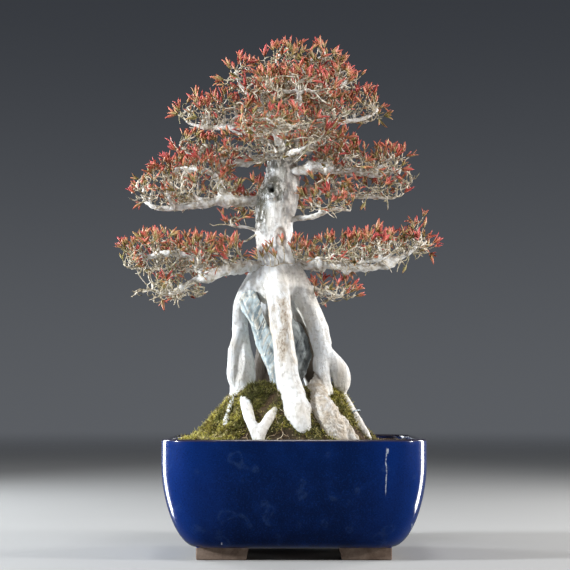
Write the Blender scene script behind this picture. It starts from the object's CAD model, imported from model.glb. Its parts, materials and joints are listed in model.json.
# %% [markdown]
# # A root-over-rock azalea bonsai in a cobalt pot
#
# The tree stands on a stone, with its roots running down over it into a mound of soil, in a glazed
# rectangular pot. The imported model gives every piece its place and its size. This script keeps those
# forms and makes the fine surfaces: bark, stone, glaze, soil, moss, and the twigs with their young leaves.

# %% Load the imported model
import json
import math
import random

import bmesh
import bpy
from mathutils import Matrix, Vector, kdtree, noise
from mathutils.bvhtree import BVHTree

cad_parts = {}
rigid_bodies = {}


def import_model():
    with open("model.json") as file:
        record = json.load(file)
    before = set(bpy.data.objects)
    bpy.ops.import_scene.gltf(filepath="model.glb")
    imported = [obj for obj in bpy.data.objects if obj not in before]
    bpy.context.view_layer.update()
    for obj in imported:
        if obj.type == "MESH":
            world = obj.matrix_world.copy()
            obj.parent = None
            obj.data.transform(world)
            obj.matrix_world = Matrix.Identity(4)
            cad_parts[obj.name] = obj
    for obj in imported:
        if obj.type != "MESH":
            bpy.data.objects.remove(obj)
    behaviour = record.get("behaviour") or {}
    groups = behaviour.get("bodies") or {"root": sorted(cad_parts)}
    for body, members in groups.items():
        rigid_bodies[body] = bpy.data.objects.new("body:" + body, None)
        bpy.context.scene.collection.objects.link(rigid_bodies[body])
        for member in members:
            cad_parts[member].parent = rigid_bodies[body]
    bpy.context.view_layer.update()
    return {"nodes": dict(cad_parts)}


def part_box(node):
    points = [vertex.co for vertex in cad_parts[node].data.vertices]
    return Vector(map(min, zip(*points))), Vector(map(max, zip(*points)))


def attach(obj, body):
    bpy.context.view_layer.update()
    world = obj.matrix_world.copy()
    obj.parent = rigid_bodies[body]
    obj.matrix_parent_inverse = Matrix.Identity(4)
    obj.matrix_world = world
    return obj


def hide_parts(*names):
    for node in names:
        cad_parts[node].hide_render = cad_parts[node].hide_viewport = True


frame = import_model()
pot_low, pot_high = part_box("pot")
POT_MIDDLE = Vector(((pot_low.x + pot_high.x) / 2, (pot_low.y + pot_high.y) / 2, 0))
UP = Vector((0, 0, 1))

# %% [markdown]
# ## The design's own frame
#
# All the places below are measured from the middle of the pot's foot plane, as a grower would measure
# them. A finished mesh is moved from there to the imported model's frame when it becomes an object, so
# every object stays at the origin, unturned and unscaled.


# %% Make a finished piece
def place_piece(name, mesh, finish=None, stands_for=()):
    """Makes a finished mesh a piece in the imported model's frame, which rides on the root body."""
    mesh.name = name
    mesh.transform(Matrix.Translation(POT_MIDDLE))
    if finish:
        mesh.materials.clear()
        mesh.materials.append(finish)
    made = bpy.data.objects.new(name, mesh)
    bpy.context.scene.collection.objects.link(made)
    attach(made, "root")
    if stands_for:
        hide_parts(*stands_for)
    triangles = sum(len(face.vertices) - 2 for face in mesh.polygons)
    print(f"{name:24s} {triangles:7d} triangles")
    return made


# %% Mesh helpers
def mesh_from(name, points, faces, smooth=True):
    """A mesh from points and faces, its faces turned outwards."""
    mesh = bpy.data.meshes.new(name)
    mesh.from_pydata([tuple(p) for p in points], [], faces)
    shape = bmesh.new()
    shape.from_mesh(mesh)
    bmesh.ops.recalc_face_normals(shape, faces=shape.faces)
    shape.to_mesh(mesh)
    shape.free()
    if smooth:
        mesh.shade_smooth()
    return mesh


def give_values(mesh, name, values):
    """Stores a number for each point of the mesh, which a material can read by its name."""
    mesh.attributes.new(name, "FLOAT", "POINT").data.foreach_set("value", values)


def helper(mesh):
    """A short-lived object for a mesh, to run modifiers on."""
    made = bpy.data.objects.new(mesh.name, mesh)
    bpy.context.scene.collection.objects.link(made)
    return made


def baked(obj):
    """The mesh that an object's modifiers make. The helper object itself is removed."""
    graph = bpy.context.evaluated_depsgraph_get()
    mesh = bpy.data.meshes.new_from_object(obj.evaluated_get(graph))
    old = obj.data
    bpy.data.objects.remove(obj)
    bpy.data.meshes.remove(old)
    return mesh


def fused(mesh, voxel, smoothings):
    """Closed bodies that run into each other, fused into one skin and softened."""
    obj = helper(mesh)
    fuse = obj.modifiers.new("fuse", "REMESH")
    fuse.mode = "VOXEL"
    fuse.voxel_size = voxel
    soften = obj.modifiers.new("soften", "SMOOTH")
    soften.factor = 0.5
    soften.iterations = smoothings
    return baked(obj)


def soft_step(value, low, high):
    """0 below low, 1 above high, and a smooth rise between; low may be the larger one."""
    t = min(1, max(0, (value - low) / (high - low)))
    return t * t * (3 - 2 * t)


# %% [markdown]
# ## Shader and geometry maths as Python
#
# A material or a geometry tree is a graph of small nodes. Written by hand, each sum takes several lines.
# The class below wraps one output socket, so that an expression such as `1 - speckle * 0.4` adds its Math
# nodes by itself. Vectors go through Vector Math and colours through Mix, because a Math node would turn
# them grey.


# %% A socket that Python can reckon with
class Value:
    """An output socket of a node tree. Value(tree) alone has no socket: a tree's first nodes come from it."""

    def __init__(self, tree, socket=None):
        self.tree = tree
        self.socket = socket

    def feed(self, socket, value):
        """Links a Value to a socket, or sets a plain value on it."""
        if isinstance(value, Value):
            self.tree.links.new(value.socket, socket)
        else:
            socket.default_value = value

    def node(self, kind, settings=None, inputs=None, output=0):
        """Adds a node of any kind, sets it up, feeds its sockets, and returns one of its outputs."""
        made = self.tree.nodes.new(kind)
        for name, value in (settings or {}).items():
            if name == "stops":
                for _ in range(len(value) - 2):
                    made.color_ramp.elements.new(0.5)
                for element, (position, colour) in zip(made.color_ramp.elements, value):
                    element.position = position
                    element.color = (*colour, 1)
            else:
                setattr(made, name, value)
        for name, value in (inputs or {}).items():
            self.feed(made.inputs[name], value)
        return Value(self.tree, made.outputs[output])

    def is_vector(self):
        return self.socket.type in ("VECTOR", "RGBA")

    def maths(self, operation, first, second):
        """A Math node, or a Vector Math node where either side is a vector."""
        sides = (first, second)
        vector = any(isinstance(v, Value) and v.is_vector() or isinstance(v, (tuple, Vector)) for v in sides)
        if vector:
            sides = [(side,) * 3 if isinstance(side, (int, float)) else side for side in sides]
        kind = "ShaderNodeVectorMath" if vector else "ShaderNodeMath"
        return self.node(kind, {"operation": operation}, dict(enumerate(sides)))

    def __add__(self, other):
        return self.maths("ADD", self, other)

    __radd__ = __add__

    def __sub__(self, other):
        return self.maths("SUBTRACT", self, other)

    def __rsub__(self, other):
        return self.maths("SUBTRACT", other, self)

    def __mul__(self, other):
        return self.maths("MULTIPLY", self, other)

    __rmul__ = __mul__

    def __truediv__(self, other):
        return self.maths("DIVIDE", self, other)

    def absolute(self):
        return self.node("ShaderNodeMath", {"operation": "ABSOLUTE"}, {0: self})

    def larger(self, other):
        return self.maths("MAXIMUM", self, other)

    def step(self, low, high):
        """0 below low, 1 above high, and a smooth rise between; a fall where low is the larger one."""
        if low > high:
            return 1 - self.step(high, low)
        return self.node("ShaderNodeMapRange", {"interpolation_type": "SMOOTHSTEP"},
                         {"Value": self, "From Min": low, "From Max": high})

    def part(self, index):
        """One of a vector's three numbers."""
        return self.node("ShaderNodeSeparateXYZ", None, {0: self}, index)

    def noise(self, scale, detail=2.0, roughness=0.5, warp=0.0):
        """Noise about 0.5 at this place, with so many lumps to a metre."""
        return self.node("ShaderNodeTexNoise", None, {"Vector": self, "Scale": scale, "Detail": detail,
                                                      "Roughness": roughness, "Distortion": warp})

    def cells(self, scale):
        """The distance to the nearest of many scattered points, so many to a metre."""
        return self.node("ShaderNodeTexVoronoi", None, {"Vector": self, "Scale": scale})

    def ramp(self, *stops):
        """The colour that a number stands for, through these stops."""
        return self.node("ShaderNodeValToRGB", {"stops": stops}, {0: self})

    def mixed(self, first, second):
        """The first colour where this mask is 0, and the second where it is 1."""
        sides = [(*side, 1) if isinstance(side, tuple) else side for side in (first, second)]
        return self.node("ShaderNodeMix", {"data_type": "RGBA"}, {0: self, 6: sides[0], 7: sides[1]}, 2)

    def under(self, *layers):
        """This colour under others, each (mask, how strong, colour), with the last one on top."""
        colour = self
        for mask, strength, over in layers:
            colour = (mask * strength).mixed(colour, over)
        return colour


# %% Start a finish
class Finish:
    """A material on the way: its Principled surface, and the places and stored values that patterns read."""

    def __init__(self, name, **constants):
        self.material = bpy.data.materials.new(name)
        self.material.use_nodes = True
        self.surface = self.material.node_tree.nodes["Principled BSDF"]
        self.start = Value(self.material.node_tree)
        for socket, value in constants.items():
            self.surface.inputs[socket.replace("_", " ")].default_value = value
        at = self.start.node("ShaderNodeTexCoord", output=3)
        self.at = at - POT_MIDDLE

    def stored(self, name):
        """A number that the mesh holds for each of its points."""
        return self.start.node("ShaderNodeAttribute", {"attribute_name": name}, output=2)

    def give(self, socket, value):
        self.start.feed(self.surface.inputs[socket], value)

    def bump(self, height, distance, strength=1.0):
        """Fine relief: the height, times the distance in metres, tilts the surface's normal."""
        self.give("Normal", self.start.node("ShaderNodeBump", None,
                                            {"Height": height, "Distance": distance, "Strength": strength}))


print("shader maths ready")


# %% Geometry Nodes helpers
def geometry_tree(name, inputs):
    """A geometry tree with a geometry input, the named inputs and a geometry output."""
    tree = bpy.data.node_groups.new(name, "GeometryNodeTree")
    tree.interface.new_socket("Geometry", in_out="INPUT", socket_type="NodeSocketGeometry")
    for label, kind in inputs.items():
        tree.interface.new_socket(label, in_out="INPUT", socket_type="NodeSocket" + kind)
    tree.interface.new_socket("Geometry", in_out="OUTPUT", socket_type="NodeSocketGeometry")
    start = tree.nodes.new("NodeGroupInput")
    ends = {socket.name: Value(tree, socket) for socket in start.outputs if socket.name}
    return tree, ends


def end_tree(tree, geometry, finish):
    """Closes a tree: instances become mesh, which takes the material, because the export drops instances."""
    real = geometry.node("GeometryNodeRealizeInstances", None, {"Geometry": geometry})
    painted = real.node("GeometryNodeSetMaterial", None, {"Geometry": real, "Material": finish})
    end = tree.nodes.new("NodeGroupOutput")
    tree.links.new(painted.socket, end.inputs[0])


def run_tree(tree, mesh, values):
    """The mesh that a tree makes of another, its inputs set by their identifiers first."""
    obj = helper(mesh)
    step = obj.modifiers.new(tree.name, "NODES")
    step.node_group = tree
    for item in tree.interface.items_tree:
        if item.in_out == "INPUT" and item.name in values:
            step[item.identifier] = values[item.name]
    return baked(obj)


# %% [markdown]
# ## Camera, light and floor
#
# The photograph was taken from a little below the foot of the trunk, about a metre and a half away, with
# a longer lens. Two tall softboxes stand at the sides, a little behind the tree, because the glaze shows
# one soft upright streak near each front corner. Two small, strong ones stand further forward and higher,
# the left one twice as strong, because the photograph was lit by flash. A weak one above fills the
# shadows. The floor is plain and pale, and the background falls off softly above it.

# %% Camera
CAMERA_FROM_POT = Vector((-0.0097, -1.60, 0.175))
CAMERA_PITCH = 94.56
LENS, SENSOR_WIDTH = 88.64, 36

camera = bpy.data.objects.new("camera", bpy.data.cameras.new("camera"))
bpy.context.scene.collection.objects.link(camera)
camera.location = POT_MIDDLE + CAMERA_FROM_POT
camera.rotation_euler = (math.radians(CAMERA_PITCH), 0, 0)
camera.data.lens = LENS
camera.data.sensor_width = SENSOR_WIDTH
bpy.context.scene.camera = camera
print("camera at", camera.location)

# %% Softboxes
AIM = Vector((0, 0, 0.25))


def softbox(name, place, size, power, colour=(1, 1, 1)):
    """An even rectangular light, so wide and so tall, that faces the tree."""
    light = bpy.data.lights.new(name, "AREA")
    light.shape = "RECTANGLE"
    light.size, light.size_y = size
    light.energy = power
    light.color = colour
    made = bpy.data.objects.new(name, light)
    bpy.context.scene.collection.objects.link(made)
    made.location = POT_MIDDLE + Vector(place)
    made.rotation_euler = (Vector(place) - AIM).to_track_quat("Z", "Y").to_euler()


softbox("left_light", (-1.25, 0.80, 0.30), (0.36, 1.70), 36, (0.92, 0.97, 1.0))
softbox("right_light", (1.35, 0.62, 0.30), (0.36, 1.70), 34, (1.0, 0.98, 0.95))
softbox("front_left_light", (-1.70, -0.62, 0.80), (0.20, 0.26), 62, (0.93, 0.97, 1.0))
softbox("front_right_light", (1.60, -0.62, 0.70), (0.20, 0.26), 30, (1.0, 0.985, 0.96))
softbox("top_light", (0.00, -0.50, 1.60), (0.30, 0.30), 8)
print("five softboxes")

# %% Floor and background
FLOOR_REACH = 12.0
FLOOR_FADES = (6.0, 1.0)
HORIZON = (0.105, 0.112, 0.124)
ABOVE = (0.036, 0.040, 0.048)
ROOM = (0.020, 0.021, 0.024)
UPWARD_FADE, BACKWARD_FADE = (-0.05, 0.32), (-0.1, 0.6)

corners = [(x * FLOOR_REACH, y * FLOOR_REACH, 0) for x, y in ((-1, -1), (1, -1), (1, 1), (-1, 1))]
floor = mesh_from("floor", corners, [(0, 1, 2, 3)])
floor_finish = Finish("pale floor", Roughness=0.65, Specular_IOR_Level=0.2)
cloudy = floor_finish.at.noise(3.0, 3)
floor_finish.give("Base Color", cloudy.mixed((0.36, 0.36, 0.36), (0.39, 0.39, 0.39)))
away = floor_finish.start.node("ShaderNodeVectorMath", {"operation": "LENGTH"}, {0: floor_finish.at}, 1)
floor_finish.give("Alpha", away.step(*FLOOR_FADES))
floor.materials.append(floor_finish.material)
floor_object = helper(floor)
floor_object.visible_glossy = False

world = bpy.data.worlds.new("studio")
bpy.context.scene.world = world
world.use_nodes = True
sky = Value(world.node_tree)
towards = sky.node("ShaderNodeTexCoord", output=0)
backdrop = towards.part(2).step(*UPWARD_FADE).mixed(HORIZON, ABOVE)
backdrop = towards.part(1).step(*BACKWARD_FADE).mixed(ROOM, backdrop)
sky.feed(world.node_tree.nodes["Background"].inputs["Color"], backdrop)
bpy.context.scene.view_settings.view_transform = "Standard"
print("floor and background ready")

# %% [markdown]
# ## The wood: trunk and roots
#
# The trunk stands on the stone, and its roots hold it like fingers and run down into the soil. The lines
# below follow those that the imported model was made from: each row is a place along a root and its radius.
# Three roots, left, centre and old_foot, are a few millimetres slimmer or fuller here, and old_foot_side
# is new. Sculpting by hand would lose the lines, so each is swept as a bar with many sides, and a voxel
# remesh fuses the bars into one skin, as the living wood did.

# %% Lines of the trunk and the roots
TRUNK = (
    (-0.016, 0.004, 0.284, 0.019), (-0.018, 0.003, 0.303, 0.029), (-0.020, 0.001, 0.325, 0.0225),
    (-0.0225, 0.000, 0.350, 0.0195), (-0.022, 0.000, 0.372, 0.0215), (-0.019, 0.001, 0.399, 0.0240),
    (-0.014, 0.002, 0.422, 0.0205), (-0.012, 0.001, 0.445, 0.0170), (-0.007, 0.000, 0.468, 0.0140),
    (-0.001, 0.000, 0.491, 0.0110), (0.005, 0.001, 0.514, 0.0080), (0.008, 0.001, 0.536, 0.0055),
    (0.010, 0.000, 0.556, 0.0030),
)
ROOTS = {
    "left": (
        (-0.026, 0.000, 0.326, 0.012), (-0.045, 0.003, 0.305, 0.012), (-0.058, 0.006, 0.284, 0.0095),
        (-0.061, 0.007, 0.262, 0.0088), (-0.0595, 0.005, 0.238, 0.0102), (-0.058, 0.002, 0.215, 0.0124),
        (-0.058, 0.000, 0.192, 0.0140), (-0.062, -0.002, 0.170, 0.0120), (-0.076, -0.006, 0.148, 0.0075),
        (-0.092, -0.010, 0.126, 0.0045),
    ),
    "left_spur": (
        (-0.062, -0.001, 0.252, 0.0050), (-0.067, -0.004, 0.234, 0.0055), (-0.0685, -0.007, 0.214, 0.0052),
        (-0.069, -0.008, 0.197, 0.0058), (-0.067, -0.008, 0.187, 0.0046),
    ),
    "centre": (
        (-0.024, -0.008, 0.325, 0.013), (-0.020, -0.024, 0.300, 0.0138), (-0.016, -0.034, 0.276, 0.0128),
        (-0.013, -0.036, 0.250, 0.0121), (-0.010, -0.037, 0.222, 0.0122), (-0.007, -0.040, 0.198, 0.0134),
        (-0.001, -0.046, 0.174, 0.0142), (0.0030, -0.056, 0.157, 0.0154), (0.0060, -0.064, 0.144, 0.0138),
        (0.0090, -0.070, 0.128, 0.0090),
    ),
    "right": (
        (-0.008, 0.000, 0.325, 0.013), (0.008, -0.004, 0.298, 0.0130), (0.019, -0.008, 0.272, 0.0125),
        (0.028, -0.012, 0.248, 0.0110), (0.033, -0.015, 0.224, 0.0102), (0.032, -0.017, 0.202, 0.0096),
        (0.037, -0.021, 0.180, 0.0080), (0.045, -0.030, 0.158, 0.0072), (0.057, -0.042, 0.136, 0.0062),
        (0.064, -0.048, 0.122, 0.0045),
    ),
    "right_knee": (
        (0.034, -0.014, 0.228, 0.0080), (0.046, -0.014, 0.213, 0.0095), (0.0535, -0.013, 0.200, 0.0100),
        (0.055, -0.012, 0.189, 0.0088), (0.054, -0.007, 0.179, 0.0056), (0.0585, -0.014, 0.169, 0.0066),
        (0.066, -0.020, 0.155, 0.0068), (0.075, -0.025, 0.141, 0.0062), (0.086, -0.030, 0.122, 0.0045),
    ),
    "old_foot": (
        (0.027, -0.016, 0.196, 0.0070), (0.026, -0.030, 0.178, 0.0120), (0.031, -0.044, 0.158, 0.0165),
        (0.040, -0.055, 0.140, 0.0160), (0.047, -0.062, 0.122, 0.0130),
    ),
    "old_foot_side": (
        (0.036, -0.036, 0.166, 0.0080), (0.048, -0.045, 0.148, 0.0098), (0.060, -0.053, 0.133, 0.0090),
        (0.070, -0.060, 0.120, 0.0060),
    ),
    "front_left": (
        (-0.058, -0.002, 0.176, 0.0080), (-0.053, -0.026, 0.172, 0.0075), (-0.052, -0.048, 0.165, 0.0066),
        (-0.049, -0.064, 0.152, 0.0060), (-0.042, -0.077, 0.138, 0.0064), (-0.037, -0.083, 0.122, 0.0050),
    ),
    "front_fork": (
        (-0.006, -0.036, 0.166, 0.0080), (-0.016, -0.050, 0.162, 0.0058), (-0.022, -0.059, 0.157, 0.0054),
        (-0.030, -0.070, 0.147, 0.0055), (-0.036, -0.079, 0.135, 0.0060), (-0.037, -0.084, 0.122, 0.0050),
    ),
    "side_left": (
        (-0.060, -0.004, 0.176, 0.0080), (-0.067, -0.026, 0.170, 0.0050), (-0.071, -0.038, 0.158, 0.0046),
        (-0.075, -0.048, 0.142, 0.0042), (-0.078, -0.054, 0.124, 0.0030),
    ),
    "back_left": (
        (-0.022, 0.010, 0.322, 0.013), (-0.024, 0.030, 0.298, 0.0120), (-0.028, 0.041, 0.268, 0.0115),
        (-0.032, 0.044, 0.236, 0.0115), (-0.036, 0.048, 0.204, 0.0125), (-0.044, 0.058, 0.176, 0.0100),
        (-0.054, 0.070, 0.148, 0.0070), (-0.062, 0.080, 0.122, 0.0045),
    ),
    "back_right": (
        (-0.008, 0.008, 0.322, 0.013), (0.004, 0.028, 0.298, 0.0120), (0.012, 0.040, 0.268, 0.0110),
        (0.016, 0.044, 0.234, 0.0110), (0.022, 0.049, 0.202, 0.0115), (0.032, 0.059, 0.174, 0.0090),
        (0.042, 0.072, 0.146, 0.0065), (0.050, 0.082, 0.122, 0.0045),
    ),
}
print(1 + len(ROOTS), "lines of wood")


# %% Smooth lines and swept bars
def smooth_line(points, step):
    """A smooth curve through the points, each (x, y, z) or (x, y, z, radius), with a point every step."""
    rows = [Vector(p) for p in points]
    ends = [rows[0] * 2 - rows[1], *rows, rows[-1] * 2 - rows[-2]]
    line = []
    for before, start, end, after in zip(ends, ends[1:], ends[2:], ends[3:]):
        pieces = max(1, round((end - start).length / step))
        for i in range(pieces):
            t = i / pieces
            line.append(
                0.5 * (2 * start + (end - before) * t + (2 * before - 5 * start + 4 * end - after) * t**2
                       + (3 * start - before - 3 * end + after) * t**3)
            )
    line.append(rows[-1])
    return line


def wall_faces(rings, sides, first=0):
    """Faces between rings of equally many points, where the first ring starts at this point."""
    faces = []
    for start in range(first, first + (rings - 1) * sides, sides):
        for k in range(sides):
            after = (k + 1) % sides
            faces.append((start + k, start + after, start + sides + after, start + sides + k))
    return faces


def loft_shape(rings):
    """Points and faces of a closed body through rings of equally many points."""
    sides = len(rings[0])
    points = [p for ring in rings for p in ring]
    ends = (tuple(range(sides)), tuple(range(len(points) - sides, len(points))))
    return points, [*wall_faces(len(rings), sides), *ends]


def bar_shape(line, radii, sides):
    """Points and faces of a closed bar along a line."""
    rings = []
    across = Vector((0.31, 0.87, 0.38))
    for i, (place, radius) in enumerate(zip(line, radii)):
        along = (line[min(i + 1, len(line) - 1)] - line[max(i - 1, 0)]).normalized()
        across = (across - along * across.dot(along)).normalized()
        up = along.cross(across)
        angles = (math.tau * k / sides for k in range(sides))
        rings.append([place + (across * math.cos(a) + up * math.sin(a)) * radius for a in angles])
    return loft_shape(rings)


def joined_shapes(shapes):
    """The points and faces of several shapes as one."""
    points, faces = [], []
    for more_points, more_faces in shapes:
        first = len(points)
        points += more_points
        faces += [[first + k for k in face] for face in more_faces]
    return points, faces


# %% Fuse the bars into one skin
WOOD_VOXEL = 0.0014
WOOD_SMOOTHINGS = 9
BAR_SIDES = 24
BAR_STEP = 0.002

wood_lines = {name: smooth_line(points, BAR_STEP) for name, points in (("trunk", TRUNK), *ROOTS.items())}
bars = [bar_shape([row.to_3d() for row in line], [row[3] for row in line], BAR_SIDES)
        for line in wood_lines.values()]
wood = fused(mesh_from("wood", *joined_shapes(bars)), WOOD_VOXEL, WOOD_SMOOTHINGS)
print("the fused skin has", len(wood.vertices), "points")

# %% [markdown]
# ### Bark relief
#
# Bark lies in long flutes that follow each root, with small knots between them. Noise in plain space
# would not follow a bend, so each point of the skin first finds the nearest line of wood, and the noise
# is read from its distance along that line and its direction off it. Some places get their own relief:
# the small hollow left by an old cut, the oval scars where cuts have healed, and the old wrinkled foot.

# %% Places with a character of their own, as (x, z, half width, half height) seen from the front
HOLLOW = (-0.0252, 0.4105, 0.0043, 0.0045)
SCARS = ((-0.0246, 0.3985, 0.0042, 0.0027), (-0.0152, 0.3565, 0.0062, 0.0120),
         (0.0010, 0.4335, 0.0050, 0.0080))
FLUTE, FIBRE, KNOT, SWELL, WRINKLE, FLAKE = 0.0016, 0.00035, 0.0012, 0.0017, 0.0012, 0.0009
FLUTES_ROUND, FLUTES_ALONG = 75, 13
FIBRES_ROUND, FIBRES_ALONG = 330, 42
KNOTS_PER_METRE, SWELLS_PER_METRE, FLAKES_PER_METRE = 62, 52, 240
WRINKLES_UP, WRINKLES_ACROSS = 620, 980
HOLLOW_DEPTH, HOLLOW_LIP, SCAR_LIP, SCAR_DEPTH = 0.0062, 0.0020, 0.0014, 0.0009
THICK_WOOD = 0.012

# Heights at which a zone begins, is full, begins to fade and has gone
CENTRE_STREAKS = (0.196, 0.215, 0.285, 0.306)
RIGHT_STREAKS = (0.235, 0.250, 0.290, 0.312)
FLANK_FLAKES = (0.352, 0.376, 0.420, 0.440)

line_rows = []
for number, (name, line) in enumerate(wood_lines.items()):
    line_rows += [(name, number, k * BAR_STEP, row) for k, row in enumerate(line)]
line_tree = kdtree.KDTree(len(line_rows))
for index, (_, _, _, row) in enumerate(line_rows):
    line_tree.insert(row.to_3d(), index)
line_tree.balance()
print(len(line_rows), "places along the wood")


# %% Work out the relief at one point
def off_spot(place, spot):
    """How far a point lies from a spot's middle, in the spot's own half sizes, as seen from the front."""
    x, z, half_width, half_height = spot
    return math.hypot((place.x - x) / half_width, (place.z - z) / half_height)


def bump_at(share, middle, width):
    """A smooth ridge round a spot: 1 where the share equals the middle, and near 0 a few widths off."""
    return math.exp(-(((share - middle) / width) ** 2))


def zone(value, begins, full, fades, gone):
    """1 inside a zone and 0 outside it, with a smooth rise and fall."""
    return soft_step(value, begins, full) * soft_step(value, gone, fades)


def bark_relief(place, name, number, along, row):
    """(height, groove, hollow, flaky, streaked, wrinkled, scarred) for one point of the wood's skin."""
    off = place - row.to_3d()
    thick = min(1.0, row[3] / THICK_WOOD)
    flow = Vector((off.x * FLUTES_ROUND, off.y * FLUTES_ROUND, along * FLUTES_ALONG + number * 7.3))
    fine = Vector((off.x * FIBRES_ROUND, off.y * FIBRES_ROUND, along * FIBRES_ALONG + number * 3.1))
    flute = noise.noise(flow) + 0.5 * noise.noise(flow * 2.1)
    fibre = noise.noise(fine)
    knot = max(0.0, noise.noise(place * KNOTS_PER_METRE) - 0.12)
    front = soft_step(place.y, 0.002, -0.006)
    swell = noise.noise(Vector((place.x, place.y, place.z * 0.6)) * SWELLS_PER_METRE + UP * number)
    height = FLUTE * thick * flute + FIBRE * fibre + KNOT * 2.2 * knot + SWELL * thick * swell
    groove = max(0.0, -0.75 * flute - 0.35 * fibre)
    hollow = scarred = flaky = 0.0
    if name == "trunk":
        share = off_spot(place, HOLLOW) * (1 + 0.30 * noise.noise(place * 260))
        height += front * (HOLLOW_LIP * bump_at(share, 1.45, 0.42) - HOLLOW_DEPTH * bump_at(share, 0, 0.72))
        hollow = front * soft_step(share, 0.95, 0.45)
        flaky = front * 0.90 * soft_step(share, 4.8, 2.4)
        for spot in SCARS:
            share = off_spot(place, spot) * (1 + 0.12 * noise.noise(place * 200))
            height += front * (SCAR_LIP * bump_at(share, 1.0, 0.20) - SCAR_DEPTH * bump_at(share, 0.55, 0.25))
            scarred = max(scarred, front * bump_at(share, 0.76, 0.12))
        flank = front * soft_step(place.x, -0.025, -0.034) * zone(place.z, *FLANK_FLAKES)
        upper = 0.75 * soft_step(place.z, 0.410, 0.445)
        behind = 0.8 * soft_step(place.y, 0.004, 0.012) * soft_step(place.z, 0.33, 0.36)
        flaky = max(flaky, flank, upper, behind)
        height += FLAKE * flaky * (noise.noise(place * FLAKES_PER_METRE) + 0.9 * noise.noise(place * 110))
    streaked = 0.0
    if name == "centre":
        streaked = zone(place.z, *CENTRE_STREAKS)
    elif name in ("right", "trunk"):
        streaked = 0.75 * soft_step(place.x, -0.008, 0.004) * zone(place.z, *RIGHT_STREAKS)
    elif name.startswith("back"):
        groove = max(groove, 1.4 * soft_step(place.y, 0.052, 0.040) * soft_step(place.z, 0.290, 0.250))
    wrinkled = 0.0
    if name.startswith("old_foot"):
        wrinkled = 1.0
        bend = place.z * WRINKLES_UP + place.x * WRINKLES_ACROSS
        bend += 7 * noise.noise(place * 60) + 2 * noise.noise(place * 170)
        ripple = 1 - 2 * abs(math.sin(bend))
        height += WRINKLE * (0.65 * ripple + 0.9 * noise.noise(place * 150) + 0.5 * noise.noise(place * 330))
        groove = max(groove, 0.55 * soft_step(ripple, 0.2, -0.9))
    return height, groove, hollow, flaky, streaked, wrinkled, scarred


# %% Raise the relief and remember where it is
MARKS = ("groove", "hollow", "flaky", "streaked", "wrinkled", "scarred")
normals = [vert.normal.copy() for vert in wood.vertices]
marks = {mark: [] for mark in MARKS}
for vert, normal in zip(wood.vertices, normals):
    near = line_tree.find(vert.co)[1]
    height, *found = bark_relief(vert.co, *line_rows[near])
    vert.co += normal * height
    for mark, value in zip(MARKS, found):
        marks[mark].append(value)
for mark, values in marks.items():
    give_values(wood, mark, values)
wood.shade_smooth()
print("relief of the bark raised at", len(wood.vertices), "points")

# %% [markdown]
# ### The bark's colour
#
# Old azalea bark is pale: cream with cool, almost blue lights where it is smooth, tan and brown along the
# streaks that the roots show, grey-green and dark where it flakes, and nearly black in the hollow. The
# masks come from the relief above, and fine noise breaks every edge.


# %% Bark
def make_bark(name):
    """The bark of the trunk, the roots and the heavy limbs."""
    bark = Finish(name, Specular_IOR_Level=0.30)
    at = bark.at
    drawn_out = at * (1.0, 1.0, 0.22)
    pale = at.noise(24, 3).step(0.38, 0.60).mixed((0.755, 0.730, 0.690), (0.770, 0.795, 0.820))
    warm = drawn_out.noise(95, 4, 0.6).step(0.46, 0.72)
    mottled = at.noise(230, 4, 0.65).step(0.50, 0.64)
    specks = (at * (1.0, 1.0, 0.55)).cells(330).step(0.20, 0.08) * at.noise(38, 2).step(0.50, 0.60)
    patches = bark.stored("streaked") * (at * (1.0, 1.0, 0.45)).noise(62, 5, 0.68)
    crumbs = patches.step(0.50, 0.60) * (at * (1.0, 1.0, 0.6)).noise(330, 3, 0.7).step(0.47, 0.60)
    flakes = bark.stored("flaky") * (at * (1.0, 1.0, 0.6)).noise(210, 4, 0.65).step(0.40, 0.52)
    worn = bark.stored("wrinkled") * at.noise(120, 4, 0.6).step(0.30, 0.60)
    healed = bark.stored("scarred") * at.noise(160, 2).step(0.30, 0.55)
    groove = bark.stored("groove")
    bark.give("Base Color", pale.under(
        (warm, 0.55, (0.53, 0.475, 0.400)),
        (mottled, 0.50, (0.47, 0.445, 0.405)),
        (specks, 0.55, (0.20, 0.150, 0.105)),
        (patches.step(0.42, 0.58), 0.72, (0.46, 0.375, 0.275)),
        (crumbs, 0.80, (0.190, 0.120, 0.065)),
        (flakes, 0.90, (0.105, 0.100, 0.062)),
        (worn, 0.75, (0.43, 0.345, 0.245)),
        (healed, 0.70, (0.30, 0.185, 0.11)),
        (groove.step(0.26, 0.85), 0.65, (0.175, 0.130, 0.085)),
        (groove.step(1.0, 1.3), 1.0, (0.055, 0.042, 0.030)),
        (bark.stored("hollow"), 1.0, (0.012, 0.014, 0.008)),
    ))
    bark.give("Roughness", warm * 0.16 + 0.56)
    cracks = drawn_out.noise(420, 4, 0.7) + drawn_out.noise(150, 3) * 1.4 - flakes * 0.6
    bark.bump(cracks + mottled * 0.25, 0.0015, 0.9)
    return bark.material


BARK = make_bark("bark")
wood_object = place_piece("wood", wood, BARK, ["trunk_and_roots"])

# %% [markdown]
# ## The stone
#
# The stone is a broken slab that leans to the right, blue-grey and layered along its length. A smooth
# body would look like plastic. So its outline is lofted through its slices, remeshed, and then moved in
# and out by flat chips and by fine layers that follow the slab's lean.

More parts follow.
